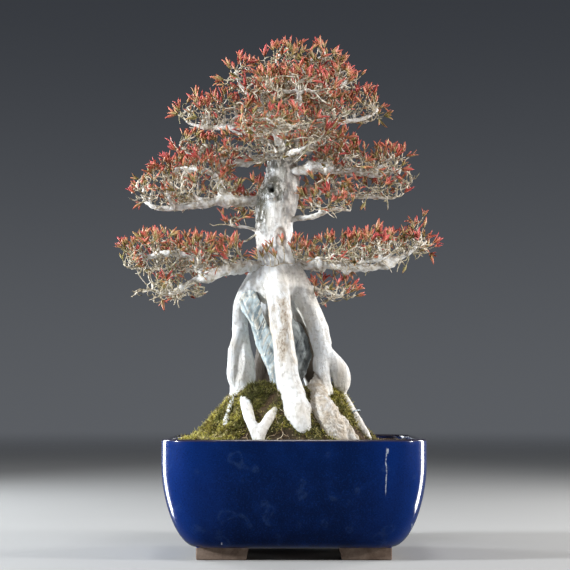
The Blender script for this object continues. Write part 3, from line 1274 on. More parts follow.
# %% The branches' limbs and pads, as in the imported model
BRANCHES = {
    "low_left": (
        (((-0.026, -0.004, 0.326), (-0.061, -0.009, 0.322), (-0.082, -0.012, 0.318),
          (-0.099, -0.014, 0.312), (-0.118, -0.010, 0.303), (-0.143, -0.006, 0.291), (-0.163, 0.000, 0.296)),
         ((-0.099, -0.014, 0.312), (-0.117, -0.020, 0.332), (-0.140, -0.018, 0.338),
          (-0.163, -0.012, 0.335), (-0.186, -0.006, 0.333)),
         ((-0.082, -0.012, 0.318), (-0.098, 0.014, 0.322), (-0.120, 0.034, 0.325))),
        0.0085,
        ((-0.154, -0.008, 0.330, 0.042, 0.046, 0.024), (-0.110, -0.002, 0.328, 0.032, 0.052, 0.024),
         (-0.143, 0.000, 0.296, 0.040, 0.038, 0.013), (-0.072, -0.006, 0.333, 0.020, 0.034, 0.014)),
    ),
    "low_right": (
        (((-0.010, -0.002, 0.324), (0.030, -0.004, 0.326), (0.062, -0.008, 0.323), (0.093, -0.008, 0.324),
          (0.113, -0.006, 0.330), (0.134, -0.002, 0.341), (0.147, 0.000, 0.356)),
         ((0.030, -0.004, 0.326), (0.048, 0.020, 0.326), (0.072, 0.036, 0.329)),
         ((0.062, -0.008, 0.323), (0.080, -0.030, 0.326), (0.102, -0.038, 0.330))),
        0.0080,
        ((0.058, -0.004, 0.334, 0.034, 0.050, 0.017), (0.103, -0.004, 0.340, 0.035, 0.050, 0.019),
         (0.143, 0.000, 0.352, 0.014, 0.030, 0.026)),
    ),
    "low_right_under": (
        (((0.004, 0.004, 0.303), (0.036, 0.004, 0.296), (0.060, 0.004, 0.284)),),
        0.0040,
        ((0.046, 0.002, 0.295, 0.026, 0.034, 0.012),),
    ),
    "low_back": (
        (((-0.018, 0.010, 0.330), (-0.012, 0.044, 0.334), (-0.002, 0.074, 0.333), (0.006, 0.100, 0.336)),),
        0.0065,
        ((0.000, 0.082, 0.338, 0.044, 0.034, 0.015),),
    ),
    "stub_left": (
        (((-0.030, -0.002, 0.362), (-0.061, -0.004, 0.369), (-0.077, -0.004, 0.371), (-0.090, -0.004, 0.369)),
         ((-0.040, -0.003, 0.364), (-0.052, -0.008, 0.353), (-0.064, -0.010, 0.352))),
        0.0032,
        ((-0.066, -0.004, 0.376, 0.014, 0.012, 0.008), (-0.066, -0.010, 0.356, 0.008, 0.010, 0.006)),
    ),
    "mid_left": (
        (((-0.026, -0.002, 0.398), (-0.061, -0.006, 0.400), (-0.079, -0.008, 0.400), (-0.101, -0.006, 0.393),
          (-0.129, -0.004, 0.391), (-0.157, -0.002, 0.391), (-0.172, 0.000, 0.399)),
         ((-0.079, -0.008, 0.400), (-0.087, -0.014, 0.422), (-0.102, -0.016, 0.433),
          (-0.124, -0.010, 0.437), (-0.146, -0.004, 0.440)),
         ((-0.079, -0.008, 0.400), (-0.096, 0.016, 0.404), (-0.118, 0.032, 0.407))),
        0.0080,
        ((-0.158, -0.002, 0.408, 0.027, 0.036, 0.022), (-0.118, 0.000, 0.410, 0.032, 0.048, 0.021),
         (-0.118, -0.006, 0.431, 0.040, 0.036, 0.016), (-0.080, -0.002, 0.416, 0.017, 0.034, 0.014)),
    ),
    "mid_right": (
        (((-0.012, -0.008, 0.432), (0.019, -0.014, 0.436), (0.037, -0.014, 0.436), (0.059, -0.010, 0.431),
          (0.087, -0.006, 0.430), (0.112, -0.002, 0.433), (0.130, 0.000, 0.434)),
         ((0.037, -0.014, 0.436), (0.056, 0.014, 0.436), (0.080, 0.032, 0.437))),
        0.0075,
        ((0.060, -0.002, 0.441, 0.036, 0.046, 0.014), (0.104, 0.000, 0.438, 0.032, 0.040, 0.015),
         (0.124, 0.000, 0.424, 0.014, 0.024, 0.013)),
    ),
    "mid_right_low": (
        (((-0.008, 0.006, 0.408), (0.024, 0.010, 0.415), (0.047, 0.010, 0.412), (0.076, 0.010, 0.407),
          (0.104, 0.008, 0.404), (0.124, 0.006, 0.406)),),
        0.0058,
        ((0.045, 0.006, 0.416, 0.028, 0.040, 0.009), (0.092, 0.006, 0.411, 0.034, 0.036, 0.008)),
    ),
    "mid_right_under": (
        (((-0.010, -0.006, 0.374), (0.021, -0.012, 0.381), (0.045, -0.014, 0.388), (0.064, -0.014, 0.387)),),
        0.0042,
        ((0.038, -0.014, 0.393, 0.028, 0.028, 0.009),),
    ),
    "mid_back": (
        (((-0.018, 0.010, 0.402), (-0.020, 0.046, 0.404), (-0.024, 0.078, 0.404), (-0.020, 0.104, 0.408)),),
        0.0065,
        ((-0.022, 0.078, 0.412, 0.052, 0.040, 0.018),),
    ),
    "up_left_low": (
        (((-0.014, 0.000, 0.452), (-0.055, 0.004, 0.446), (-0.076, 0.004, 0.442), (-0.100, 0.002, 0.447),
          (-0.118, 0.000, 0.455), (-0.130, -0.002, 0.463)),),
        0.0060,
        ((-0.078, 0.002, 0.456, 0.034, 0.046, 0.011), (-0.118, 0.000, 0.462, 0.018, 0.030, 0.012)),
    ),
    "up_left": (
        (((-0.010, -0.002, 0.467), (-0.054, -0.006, 0.476), (-0.071, -0.006, 0.484), (-0.093, -0.004, 0.483),
          (-0.114, -0.002, 0.487), (-0.128, 0.000, 0.497)),),
        0.0060,
        ((-0.078, -0.002, 0.498, 0.034, 0.046, 0.017), (-0.114, 0.000, 0.500, 0.019, 0.030, 0.015)),
    ),
    "up_right_low": (
        (((-0.008, -0.002, 0.456), (0.013, -0.004, 0.460), (0.032, -0.004, 0.462), (0.053, -0.002, 0.457)),),
        0.0048,
        ((0.036, 0.000, 0.467, 0.030, 0.042, 0.010),),
    ),
    "up_right": (
        (((0.002, 0.000, 0.494), (0.026, -0.004, 0.492), (0.053, -0.006, 0.490), (0.080, -0.004, 0.493),
          (0.096, -0.002, 0.503)),),
        0.0052,
        ((0.048, 0.000, 0.499, 0.032, 0.042, 0.015), (0.081, 0.000, 0.502, 0.020, 0.028, 0.016)),
    ),
    "up_front": (
        (((-0.012, -0.002, 0.452), (-0.017, -0.034, 0.462), (-0.019, -0.058, 0.468),
          (-0.016, -0.078, 0.472)),),
        0.0055,
        ((-0.020, -0.062, 0.474, 0.044, 0.028, 0.014),),
    ),
    "mid_front": (
        (((-0.014, -0.008, 0.442), (0.000, -0.036, 0.450), (0.018, -0.058, 0.454)),),
        0.0045,
        ((0.018, -0.060, 0.458, 0.028, 0.022, 0.010),),
    ),
    "up_back": (
        (((-0.006, 0.002, 0.468), (-0.006, 0.036, 0.476), (-0.008, 0.062, 0.480), (-0.008, 0.084, 0.485)),),
        0.0055,
        ((-0.008, 0.070, 0.490, 0.056, 0.036, 0.018),),
    ),
    "top_left": (
        (((-0.002, 0.000, 0.487), (-0.027, -0.002, 0.501), (-0.046, -0.002, 0.515), (-0.060, 0.000, 0.534),
          (-0.066, 0.000, 0.549)),),
        0.0045,
        ((-0.058, 0.000, 0.541, 0.020, 0.030, 0.018), (-0.034, 0.000, 0.526, 0.027, 0.044, 0.018)),
    ),
    "top_front": (
        (((0.000, -0.002, 0.492), (0.004, -0.026, 0.506), (0.006, -0.048, 0.514)),),
        0.0038,
        ((0.004, -0.050, 0.518, 0.042, 0.024, 0.016),),
    ),
    "top_back": (
        (((0.006, 0.001, 0.515), (0.006, 0.022, 0.526), (0.006, 0.040, 0.534)),),
        0.0036,
        ((0.005, 0.044, 0.540, 0.040, 0.024, 0.016),),
    ),
    "top_right": (
        (((0.004, 0.000, 0.508), (0.028, -0.002, 0.516), (0.050, -0.002, 0.528), (0.064, -0.002, 0.540)),),
        0.0040,
        ((0.056, 0.000, 0.532, 0.027, 0.034, 0.018),),
    ),
    "crown": (
        (((0.008, 0.000, 0.530), (0.009, 0.000, 0.545), (0.014, 0.000, 0.558)),
         ((0.009, 0.000, 0.540), (-0.008, 0.000, 0.549), (-0.018, 0.000, 0.560))),
        0.0034,
        ((-0.008, 0.000, 0.559, 0.028, 0.030, 0.017), (0.030, 0.000, 0.557, 0.024, 0.028, 0.016)),
    ),
}
PAD_BELOW = 0.40
print(len(BRANCHES), "branches")


# %% Points that pull at the twigs
def targets_in(pads, spacing, tries_each, chance):
    """Points that keep a spacing inside the pads, which are domes: full above, shallow below."""
    found, cells = [], {}
    for x, y, z, half_width, half_depth, half_height in pads:
        tries = int(tries_each * (1 + half_width * half_depth * half_height / spacing**3))
        for _ in range(tries):
            out = Vector([chance.uniform(-1, 1) for _ in range(3)])
            if out.length > 1:
                continue
            if out.z < 0:
                out.z *= PAD_BELOW
            place = Vector((x + out.x * half_width, y + out.y * half_depth, z + out.z * half_height))
            cell = tuple(int(v // spacing) for v in place)
            near = (other for i in (-1, 0, 1) for j in (-1, 0, 1) for k in (-1, 0, 1)
                    for other in cells.get((cell[0] + i, cell[1] + j, cell[2] + k), ()))
            if all((place - other).length > spacing for other in near):
                found.append(place)
                cells.setdefault(cell, []).append(place)
    return found


# %% The rule of growth
def how_far_out(place, pads):
    """How far out a place lies in the pad that holds it best: 0 at a pad's middle and 1 at its edge."""
    return min(Vector(((place.x - x) / width, (place.y - y) / depth, (place.z - z) / height)).length
               for x, y, z, width, depth, height in pads)


def grow_from(points, parents, targets, pads, chance, step, reach, kill, lift, spread, sway, apart, rounds):
    """Grows twigs from a skeleton towards the targets, adding to its points and their parents.

    Where pads are given, no twig strays beyond them or past the widest place that the model may reach.
    """
    for _ in range(rounds):
        tree = kdtree.KDTree(len(points))
        for i, place in enumerate(points):
            tree.insert(place, i)
        tree.balance()
        pulls, waiting = {}, []
        for target in targets:
            place, i, away = tree.find(target)
            if away < kill:
                continue
            waiting.append(target)
            if away < reach:
                pulls[i] = pulls.get(i, Vector()) + (target - place).normalized()
        for i, pull in pulls.items():
            turn = Vector([chance.uniform(-1, 1) for _ in range(3)])
            outward = Vector((points[i].x, points[i].y, 0)).normalized()
            heading = (pull.normalized() + UP * lift + outward * spread + turn * sway).normalized()
            place = points[i] + heading * step
            held = not pads or how_far_out(place, pads) < STRAYING and place.x < WIDEST
            if held and tree.find(place)[2] > apart:
                points.append(place)
                parents.append(i)
        targets = waiting
        if not pulls:
            break


def limbs_of(limbs, step):
    """The skeleton of a branch's limbs, each later limb starting at the nearest point of an earlier one."""
    points, parents = [], []
    for limb in limbs:
        line = smooth_line(limb, step)
        start = -1 if not points else min(range(len(points)), key=lambda i: (points[i] - line[0]).length)
        for place in line[0 if not points else 1:]:
            points.append(place)
            parents.append(start)
            start = len(points) - 1
    return points, parents


STRAYING, WIDEST = 1.04, 0.174
COARSE = {"step": 0.008, "reach": 0.075, "kill": 0.0085, "lift": 0.18, "spread": 0.0, "sway": 0.22,
          "apart": 0.0044, "rounds": 40}
FINE = {"step": 0.0050, "reach": 0.030, "kill": 0.0045, "lift": 0.34, "spread": 0.34, "sway": 0.16,
        "apart": 0.0029, "rounds": 22}
COARSE_SPACING, COARSE_TRIES = 0.0200, 60
FINE_SPACING, FINE_TRIES = 0.0053, 24
FINE_HIGHER, FINE_LOWER = 1.08, 0.0045
CLUMPS_PER_METRE, CLUMP_GAP = 34, -0.14
CROOKS_PER_METRE, CROOK, CROOK_APART = 38, 0.0032, 17.3
FINE_SEED = 1000


def fine_targets(pads, chance):
    """Close targets for the fine twigs: the pads a little deeper, with gaps between clumps."""
    deeper = [(x, y, z - FINE_LOWER, width, depth, height * FINE_HIGHER + FINE_LOWER)
              for x, y, z, width, depth, height in pads]
    found = targets_in(deeper, FINE_SPACING, FINE_TRIES, chance)
    return [place for place in found if noise.noise(place * CLUMPS_PER_METRE) > CLUMP_GAP]


def crooked(place):
    """A place moved a little to one side, so that no limb runs straight."""
    here = place * CROOKS_PER_METRE
    return place + Vector([noise.noise(here + UP * CROOK_APART * k) for k in range(3)]) * CROOK


def grown(limbs, pads, seed):
    """A branch's whole skeleton: its points and their parents."""
    chance = random.Random(seed)
    targets = targets_in(pads, COARSE_SPACING, COARSE_TRIES, chance)
    points, parents = limbs_of(limbs, COARSE["step"])
    grow_from(points, parents, targets, (), chance, **COARSE)
    chance = random.Random(FINE_SEED + seed)
    grow_from(points, parents, fine_targets(pads, chance), pads, chance, **FINE)
    return [crooked(place) for place in points], parents


# %% [markdown]
# Between the branches the crown is filled with short twigs that spring straight from the trunk. They are
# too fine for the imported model, so they are grown here alone, from three groups of small pads.

# %% Inner twigs of the crown
INNER = {
    "inner_low": (
        (((-0.013, -0.008, 0.430), (-0.016, -0.020, 0.440), (-0.020, -0.028, 0.450)),
         ((-0.013, -0.008, 0.430), (0.000, -0.018, 0.444), (0.012, -0.024, 0.452))),
        0.0026,
        ((-0.018, -0.022, 0.450, 0.032, 0.014, 0.013), (0.012, -0.018, 0.450, 0.024, 0.014, 0.012),
         (-0.040, -0.006, 0.466, 0.020, 0.020, 0.012)),
    ),
    "inner_mid": (
        (((-0.006, -0.004, 0.466), (-0.010, -0.016, 0.480), (-0.018, -0.020, 0.490)),
         ((-0.006, -0.004, 0.466), (0.008, -0.014, 0.480), (0.020, -0.014, 0.486))),
        0.0026,
        ((-0.012, -0.020, 0.492, 0.036, 0.020, 0.016), (0.024, -0.012, 0.484, 0.026, 0.018, 0.013),
         (-0.044, -0.004, 0.506, 0.022, 0.020, 0.012)),
    ),
    "inner_top": (
        (((0.003, 0.000, 0.505), (0.006, -0.012, 0.520), (0.010, -0.016, 0.530)),
         ((0.003, 0.000, 0.505), (-0.010, -0.008, 0.516), (-0.018, -0.010, 0.526))),
        0.0022,
        ((0.006, -0.014, 0.533, 0.034, 0.020, 0.016), (0.026, -0.004, 0.514, 0.024, 0.020, 0.012),
         (-0.014, -0.010, 0.520, 0.022, 0.020, 0.013)),
    ),
}
sprays = {**BRANCHES, **INNER}
skeletons = {name: grown(limbs, pads, seed) for seed, (name, (limbs, _, pads)) in enumerate(sprays.items())}
print("skeleton points:", sum(len(points) for points, _ in skeletons.values()))


# %% Chains from fork to tip
def chains_of(points, parents):
    """The skeleton as chains from a fork to a tip, thick ones first, and how many tips hang on each point."""
    children = {i: [] for i in range(len(points))}
    for i, parent in enumerate(parents):
        if parent >= 0:
            children[parent].append(i)
    tips = [0] * len(points)
    for i in reversed(range(len(points))):
        tips[i] = sum(tips[k] for k in children[i]) or 1
    chains, starts = [], [(-1, 0)]
    while starts:
        fork, i = starts.pop(0)
        chain = [i]
        while children[i]:
            follow = max(children[i], key=lambda k: (tips[k], -k))
            starts += [(i, k) for k in children[i] if k != follow]
            chain.append(follow)
            i = follow
        chains.append((fork, chain))
    return chains, tips


# %% [markdown]
# ### How thick a twig is
#
# A twig carries what grows beyond it, so its radius follows the number of tips past it. Where an old cut
# has healed, the limb swells into a pale knob, and the photograph shows the largest of them, so those
# are placed by hand. The rest of the gnarling comes from noise in the sweep.

# %% Twig sizes and knobs
TWIG_RADIUS, TWIG_THICKENING = 0.00057, 0.43
TIP_LENGTH, TIP_LIFT = 0.0050, 0.75
LIMB_PART, LIMB_SHARE, LIMB_STEP = 0.0016, 0.74, 0.0022
KNOBS = {
    "low_left": ((-0.0975, -0.015, 0.3130, 0.0098), (-0.113, -0.018, 0.327, 0.0060),
                 (-0.061, -0.009, 0.322, 0.0078)),
    "low_right": ((0.1080, -0.007, 0.3270, 0.0082), (0.062, -0.008, 0.323, 0.0085),
                  (0.030, -0.004, 0.326, 0.0098)),
    "mid_left": ((-0.079, -0.008, 0.400, 0.0088), (-0.101, -0.006, 0.393, 0.0062)),
    "mid_right": ((0.037, -0.014, 0.436, 0.0095), (0.019, -0.014, 0.436, 0.0080)),
    "mid_right_low": ((0.022, 0.004, 0.412, 0.0090),),
    "up_left": ((-0.054, -0.006, 0.476, 0.0070),),
    "up_left_low": ((-0.055, 0.004, 0.446, 0.0066),),
    "up_right": ((0.026, -0.004, 0.492, 0.0066),),
    "up_right_low": ((0.013, -0.004, 0.460, 0.0070),),
    "crown": ((0.009, 0.000, 0.545, 0.0050),),
    "top_front": ((0.004, -0.026, 0.506, 0.0052),),
}


def radius_at(place, tips, all_tips, thick, knobs):
    """The radius of the wood at a point of a branch."""
    most = TWIG_RADIUS * all_tips**TWIG_THICKENING
    radius = TWIG_RADIUS * tips**TWIG_THICKENING * (LIMB_SHARE * thick / most) ** ((tips / all_tips) ** 0.8)
    for x, y, z, knob in knobs:
        away = (place - Vector((x, y, z))).length
        if radius > LIMB_PART and knob > radius:
            radius += (knob - radius) * math.exp(-((away / (0.75 * knob)) ** 2))
    return radius


print(sum(len(knobs) for knobs in KNOBS.values()), "knobs")


# %% The tree that sweeps twigs
def sweep_tree(finish):
    """Turns chains of edges into round, gnarled wood, as thick as each point's stored thickness."""
    tree, given = geometry_tree("swept wood", {"Sides": "Int", "Gnarl": "Float", "Lumps per metre": "Float"})
    chain = given["Geometry"]
    thickness = chain.node("GeometryNodeInputNamedAttribute", {"data_type": "FLOAT"}, {"Name": "thickness"})
    curve = chain.node("GeometryNodeMeshToCurve", None, {"Mesh": chain})
    sides = {"Resolution": given["Sides"], "Radius": 1.0}
    profile = chain.node("GeometryNodeCurvePrimitiveCircle", None, sides)
    swept = curve.node("GeometryNodeCurveToMesh", None, {
        "Curve": curve, "Profile Curve": profile, "Scale": thickness, "Fill Caps": True,
    })
    place = swept.node("GeometryNodeInputPosition")
    lumps = given["Lumps per metre"]
    swelling = place.noise(lumps, 2) - 0.5 + (place.noise(lumps * 0.4, 1) - 0.5)
    outwards = swept.node("GeometryNodeInputNormal")
    gnarled = swept.node("GeometryNodeSetPosition", None, {
        "Geometry": swept, "Offset": outwards * (swelling * thickness * given["Gnarl"]),
    })
    rounded = gnarled.node("GeometryNodeSetShadeSmooth", None, {"Geometry": gnarled})
    end_tree(tree, rounded, finish)
    return tree


def chain_mesh(name, chains):
    """A mesh of separate edge chains, each [(place, radius), ...], with the radius stored on its points."""
    points, edges, radii = [], [], []
    for chain in chains:
        first = len(points)
        points += [place for place, _ in chain]
        radii += [radius for _, radius in chain]
        edges += [(first + k, first + k + 1) for k in range(len(chain) - 1)]
    mesh = bpy.data.meshes.new(name)
    mesh.from_pydata([tuple(p) for p in points], edges, [])
    give_values(mesh, "thickness", radii)
    return mesh


def swept_wood(tree, chains, sides, gnarl, lumps):
    """The wood that a sweeping tree makes of chains, with so many sides and lumps to a metre."""
    values = {"Sides": sides, "Gnarl": gnarl, "Lumps per metre": lumps}
    return run_tree(tree, chain_mesh("chains", chains), values)


# %% Wood of a branch as chains, and its tips
def branch_chains(name):
    """A branch's limb chains, its twig chains, and the tips that carry leaves as (place, heading)."""
    points, parents = skeletons[name]
    thick = sprays[name][1]
    chains, tips = chains_of(points, parents)
    knobs = KNOBS.get(name, ())
    limbs, twigs, ends = [], [], []
    for fork, chain in chains:
        order = ([fork] if fork >= 0 else []) + chain
        rows = [(points[i], radius_at(points[i], tips[i], tips[0], thick, knobs)) for i in order]
        if fork >= 0 and len(rows) > 1:
            rows[0] = (rows[0][0], rows[1][1])
        heading = ((points[order[-1]] - points[order[-2]]).normalized() + UP * TIP_LIFT).normalized()
        tip = points[order[-1]] + heading * TIP_LENGTH
        rows.append((tip, TWIG_RADIUS * 0.8))
        ends.append((tip, heading))
        if rows[0][1] > LIMB_PART:
            line = smooth_line([(*place, radius) for place, radius in rows], LIMB_STEP)
            limbs.append([(row.to_3d(), max(TWIG_RADIUS * 0.7, row[3])) for row in line])
        else:
            twigs.append(rows)
    return limbs, twigs, ends


parts = {name: branch_chains(name) for name in sprays}
print("limb chains", sum(len(limbs) for limbs, _, _ in parts.values()),
      "twigs", sum(len(twigs) for _, twigs, _ in parts.values()),
      "tips", sum(len(ends) for _, _, ends in parts.values()))

# %% [markdown]
# ### Bare twigs
#
# Below the pads hang short bare twigs, pale and curled, where leaves got no light. Each is a small
# polyline that leaves the underside of a limb, dips and curls back up.


# %% Hanging bare twigs, none of them far out at the right, where the model may not get wider
BARE_REACH, BARE_SEED = 0.160, 2000
BARE_STEP, BARE_CURL, BARE_RISE = 0.0034, 0.35, 0.22


def bare_twigs(name, seed, count):
    """Short curled twigs from the lowest thin wood of a branch."""
    chance = random.Random(BARE_SEED + seed)
    _, twigs, _ = parts[name]
    inside = [rows[-2][0] for rows in twigs if rows[-2][0].x < BARE_REACH] or [twigs[0][0][0]]
    starts = sorted(inside, key=lambda place: place.z)[:max(1, len(twigs) // 7)]
    made = []
    for _ in range(count):
        place = chance.choice(starts).copy()
        angle = chance.uniform(0, math.tau)
        heading = Vector((math.cos(angle), math.sin(angle), -chance.uniform(0.2, 1.1))).normalized()
        turn = Vector([chance.uniform(-1, 1) for _ in range(3)])
        pieces = chance.randint(3, 6)
        rows = []
        for k in range(pieces + 1):
            rows.append((place.copy(), TWIG_RADIUS * (1.5 - 0.8 * k / pieces)))
            heading = (heading + turn * BARE_CURL + UP * BARE_RISE * k / pieces).normalized()
            place += heading * BARE_STEP
        made.append(rows)
    return made


bare = {name: bare_twigs(name, seed, max(4, len(parts[name][1]) // 12)) for seed, name in enumerate(sprays)}
print(sum(len(rows) for rows in bare.values()), "bare twigs")

# %% [markdown]
# ### Young leaves
#
# Azalea leaves open in clusters at the twig tips. They are narrow, pointed and half folded, and most are 8
# to 15 mm long, the longest ones outside. They are olive at the foot, orange in the middle and red at the
# tip. Four leaf shapes of sixteen faces each are enough for thousands of copies, because no two copies
# have the same size, turn and tint.


# %% Leaf shapes
def leaf_mesh(name, bend, fold, widest):
    """A leaf one unit long that rises along Z, hollow towards +Y, with how far up it each point lies."""
    points, marks = [Vector((0, 0, 0))], [0.0]
    for t, width in ((0.28, 0.090), (widest, 0.130), (0.80, 0.075)):
        back = -bend * t * t
        ring = ((-width, back + fold), (0, back + 0.012), (width, back + fold), (0, back - 0.028))
        points += [Vector((x, y, t)) for x, y in ring]
        marks += [t] * 4
    points.append(Vector((0, -bend * 1.05, 1.0)))
    marks.append(1.0)
    faces = [(0, 1 + k, 1 + (k + 1) % 4) for k in range(4)]
    faces += wall_faces(3, 4, first=1)
    faces += [(9 + k, 9 + (k + 1) % 4, 13) for k in range(4)]
    mesh = mesh_from(name, points, faces)
    give_values(mesh, "along", marks)
    return mesh


leaf_shelf = shelf("leaves", [
    leaf_mesh("leaf_0", 0.05, 0.045, 0.55), leaf_mesh("leaf_1", 0.16, 0.060, 0.50),
    leaf_mesh("leaf_2", -0.06, 0.050, 0.58), leaf_mesh("leaf_3", 0.26, 0.035, 0.52),
])


# %% The tree that sets leaves on their tips
def leaf_tree(finish):
    """Puts one of the shelf's leaves on each point, with the turn, size and shape stored there."""
    tree, given = geometry_tree("leaves on tips", {"Shapes": "Collection"})
    tips = given["Geometry"]

    def stored(name, kind="FLOAT"):
        """What each point holds under a name."""
        return tips.node("GeometryNodeInputNamedAttribute", {"data_type": kind}, {"Name": name})

    turn = tips.node("FunctionNodeEulerToRotation", None, {0: stored("turn", "FLOAT_VECTOR")})
    leaves = set_out(tips, given["Shapes"], stored("shape", "INT"), turn, stored("size"))
    end_tree(tree, leaves, finish)
    return tree


# %% Leaves of a branch, shorter far out at the right, where the model may not get wider
LEAF_LONGEST, LEAF_SHORTEST, LEAF_REACH = 0.0156, 0.0062, 0.186
LEAF_LEAN, LEAF_SIZES, LEAF_SUNK = (0.12, 0.50), (0.78, 1.05), 0.0006
TINT_SPREAD, BRANCH_TINT_SPREAD = 0.10, 0.22
INSIDE, INSIDE_BARE, BELOW, BELOW_BARE = 0.62, 0.60, -0.2, 0.55
LEAF_SEED = 3000


class LeafSpots:
    """The places of leaves, one point each, with everything that the leaf tree reads."""

    def __init__(self, seed):
        self.chance = random.Random(seed)
        self.points, self.turns, self.sizes, self.tints, self.shapes = [], [], [], [], []

    def cluster(self, tip, heading, count, size, tint):
        """Adds the leaves that open from one tip, spread round its heading."""
        chance = self.chance
        size = min(size, max(LEAF_SHORTEST, LEAF_REACH - tip.x))
        spin = chance.uniform(0, math.tau)
        stand = heading.to_track_quat("Z", "Y").to_matrix()
        for k in range(count):
            angle = spin + math.tau * k / count + chance.uniform(-0.4, 0.4)
            lean = chance.uniform(*LEAF_LEAN) * (1.0 if count > 1 else 0.3)
            self.points.append(tuple(tip - heading * LEAF_SUNK))
            self.turns += (stand @ Matrix.Rotation(angle, 3, "Z") @ Matrix.Rotation(lean, 3, "X")).to_euler()
            self.sizes.append(max(LEAF_SHORTEST, size * chance.uniform(*LEAF_SIZES)))
            self.tints.append(min(1.0, max(0.0, tint + chance.gauss(0, TINT_SPREAD))))
            self.shapes.append(chance.randrange(4))

    def mesh(self):
        """The places as a mesh of points."""
        mesh = bpy.data.meshes.new("leaf_points")
        mesh.from_pydata(self.points, [], [])
        mesh.attributes.new("turn", "FLOAT_VECTOR", "POINT").data.foreach_set("vector", self.turns)
        mesh.attributes.new("shape", "INT", "POINT").data.foreach_set("value", self.shapes)
        give_values(mesh, "size", self.sizes)
        give_values(mesh, "tint", self.tints)
        return mesh


def branch_leaves(name, seed):
    """The leaves of a branch: long and red at its outside, fewer, small and dull inside and below."""
    spots = LeafSpots(LEAF_SEED + seed)
    chance = spots.chance
    pads = sprays[name][2]
    for tip, heading in parts[name][2]:
        share = min(1.0, how_far_out(tip, pads))
        low = min((tip.z - pad[2]) / pad[5] for pad in pads)
        if share < INSIDE and chance.random() < INSIDE_BARE or low < BELOW and chance.random() < BELOW_BARE:
            continue
        count = chance.choice((2, 2, 3, 3, 4) if share > 0.75 else (1, 2, 2, 3))
        tint = min(1.0, max(0.0, chance.gauss(0.26 + 0.26 * share, BRANCH_TINT_SPREAD)))
        full = (0.42 + 0.58 * share * share) * chance.uniform(0.80, 1.12)
        spots.cluster(tip, heading, count, LEAF_LONGEST * full, tint)
    return spots.mesh()


# %% Twig bark and leaf finishes
twig_bark = Finish("twig bark", Specular_IOR_Level=0.25)
at = twig_bark.at
thick = twig_bark.stored("thickness").step(0.0005, 0.0022)
fine = at.noise(160, 3, 0.6)
young = fine.ramp((0.34, (0.17, 0.135, 0.075)), (0.50, (0.50, 0.425, 0.305)), (0.62, (0.78, 0.73, 0.64)))
old = fine.ramp((0.34, (0.36, 0.315, 0.245)), (0.46, (0.62, 0.585, 0.520)), (0.58, (0.80, 0.80, 0.79)))
twig_bark.give("Base Color", thick.mixed(young, old).under(
    (at.noise(28, 2).step(0.50, 0.66) * (1 - thick), 0.45, (0.24, 0.235, 0.085)),
    (at.noise(520, 3, 0.7).step(0.42, 0.30), 0.40, (0.16, 0.125, 0.085)),
))
twig_bark.give("Roughness", fine * 0.2 + 0.6)
twig_bark.bump(at.noise(420, 4, 0.7), 0.0014, 0.9)

leaf_finish = Finish("young leaves", Roughness=0.48, Specular_IOR_Level=0.40)
along = leaf_finish.stored("along")
tint = leaf_finish.stored("tint")
ruddy = (along * 0.80 + tint * 0.90 - 0.42).ramp(
    (0.0, (0.225, 0.215, 0.070)), (0.28, (0.31, 0.215, 0.080)), (0.52, (0.43, 0.150, 0.078)),
    (0.78, (0.47, 0.085, 0.066)), (1.0, (0.42, 0.045, 0.055)))
veins = leaf_finish.at.noise(700, 2)
leaf_finish.give("Base Color", ruddy.under((veins.step(0.45, 0.70), 0.30, (0.62, 0.30, 0.14))))
leaf_finish.bump(veins, 0.0004, 0.5)
print("twig and leaf finishes ready")

# %% Make every branch
LIMB_TREE = sweep_tree(twig_bark.material)
LEAF_TREE = leaf_tree(leaf_finish.material)
leaf_total = 0
for seed, name in enumerate(sprays):
    limbs, twigs, _ = parts[name]
    if name in BRANCHES:
        heavy = swept_wood(LIMB_TREE, limbs, 12, 1.0, 230.0)
        place_piece("limbs_" + name, heavy, None, ["branch_" + name])
        limbs = []
    light = swept_wood(LIMB_TREE, limbs + twigs + bare[name], 4, 1.1, 330.0)
    place_piece("twigs_" + name, light)
    spots = branch_leaves(name, seed)
    leaf_total += len(spots.vertices)
    place_piece("leaves_" + name, run_tree(LEAF_TREE, spots, {"Shapes": leaf_shelf}))
print(leaf_total, "leaves")

# %% [markdown]
# ## Shoots across the foot of the trunk
#
# A thin runner crosses the trunk where the roots begin, and carries a few tall clusters of leaves. Each
# of its places is given as seen from the front, and a ray finds how far forward the bark is there.

# %% Runner and its leaf clusters, as (x, z) seen from the front
RUNNER = ((-0.0428, 0.3244), (-0.0359, 0.3236), (-0.0291, 0.3226), (-0.0234, 0.3212), (-0.0190, 0.3228),
          (-0.0130, 0.3254), (-0.0040, 0.3262), (0.0063, 0.3262), (0.0150, 0.3240))
SHOOT_TIPS = ((-0.0348, 0.3315), (-0.0300, 0.3370), (-0.0240, 0.3425), (-0.0200, 0.3312), (-0.0130, 0.3480),
              (-0.0017, 0.3420), (0.0040, 0.3500))
RUNNER_RADIUS, RUNNER_STEP, RUNNER_LEAF = 0.00055, 0.003, 0.0138
ON_BARK, OFF_BARK = 0.0008, 0.0060
spots = LeafSpots(77)


def before_bark(x, z, ahead):
    """The place just in front of the bark at this x and z."""
    hit = wood_surface.ray_cast(Vector((x, -0.2, z)), Vector((0, 1, 0)))[0]
    return Vector((x, (hit.y if hit else -0.012) - ahead, z))


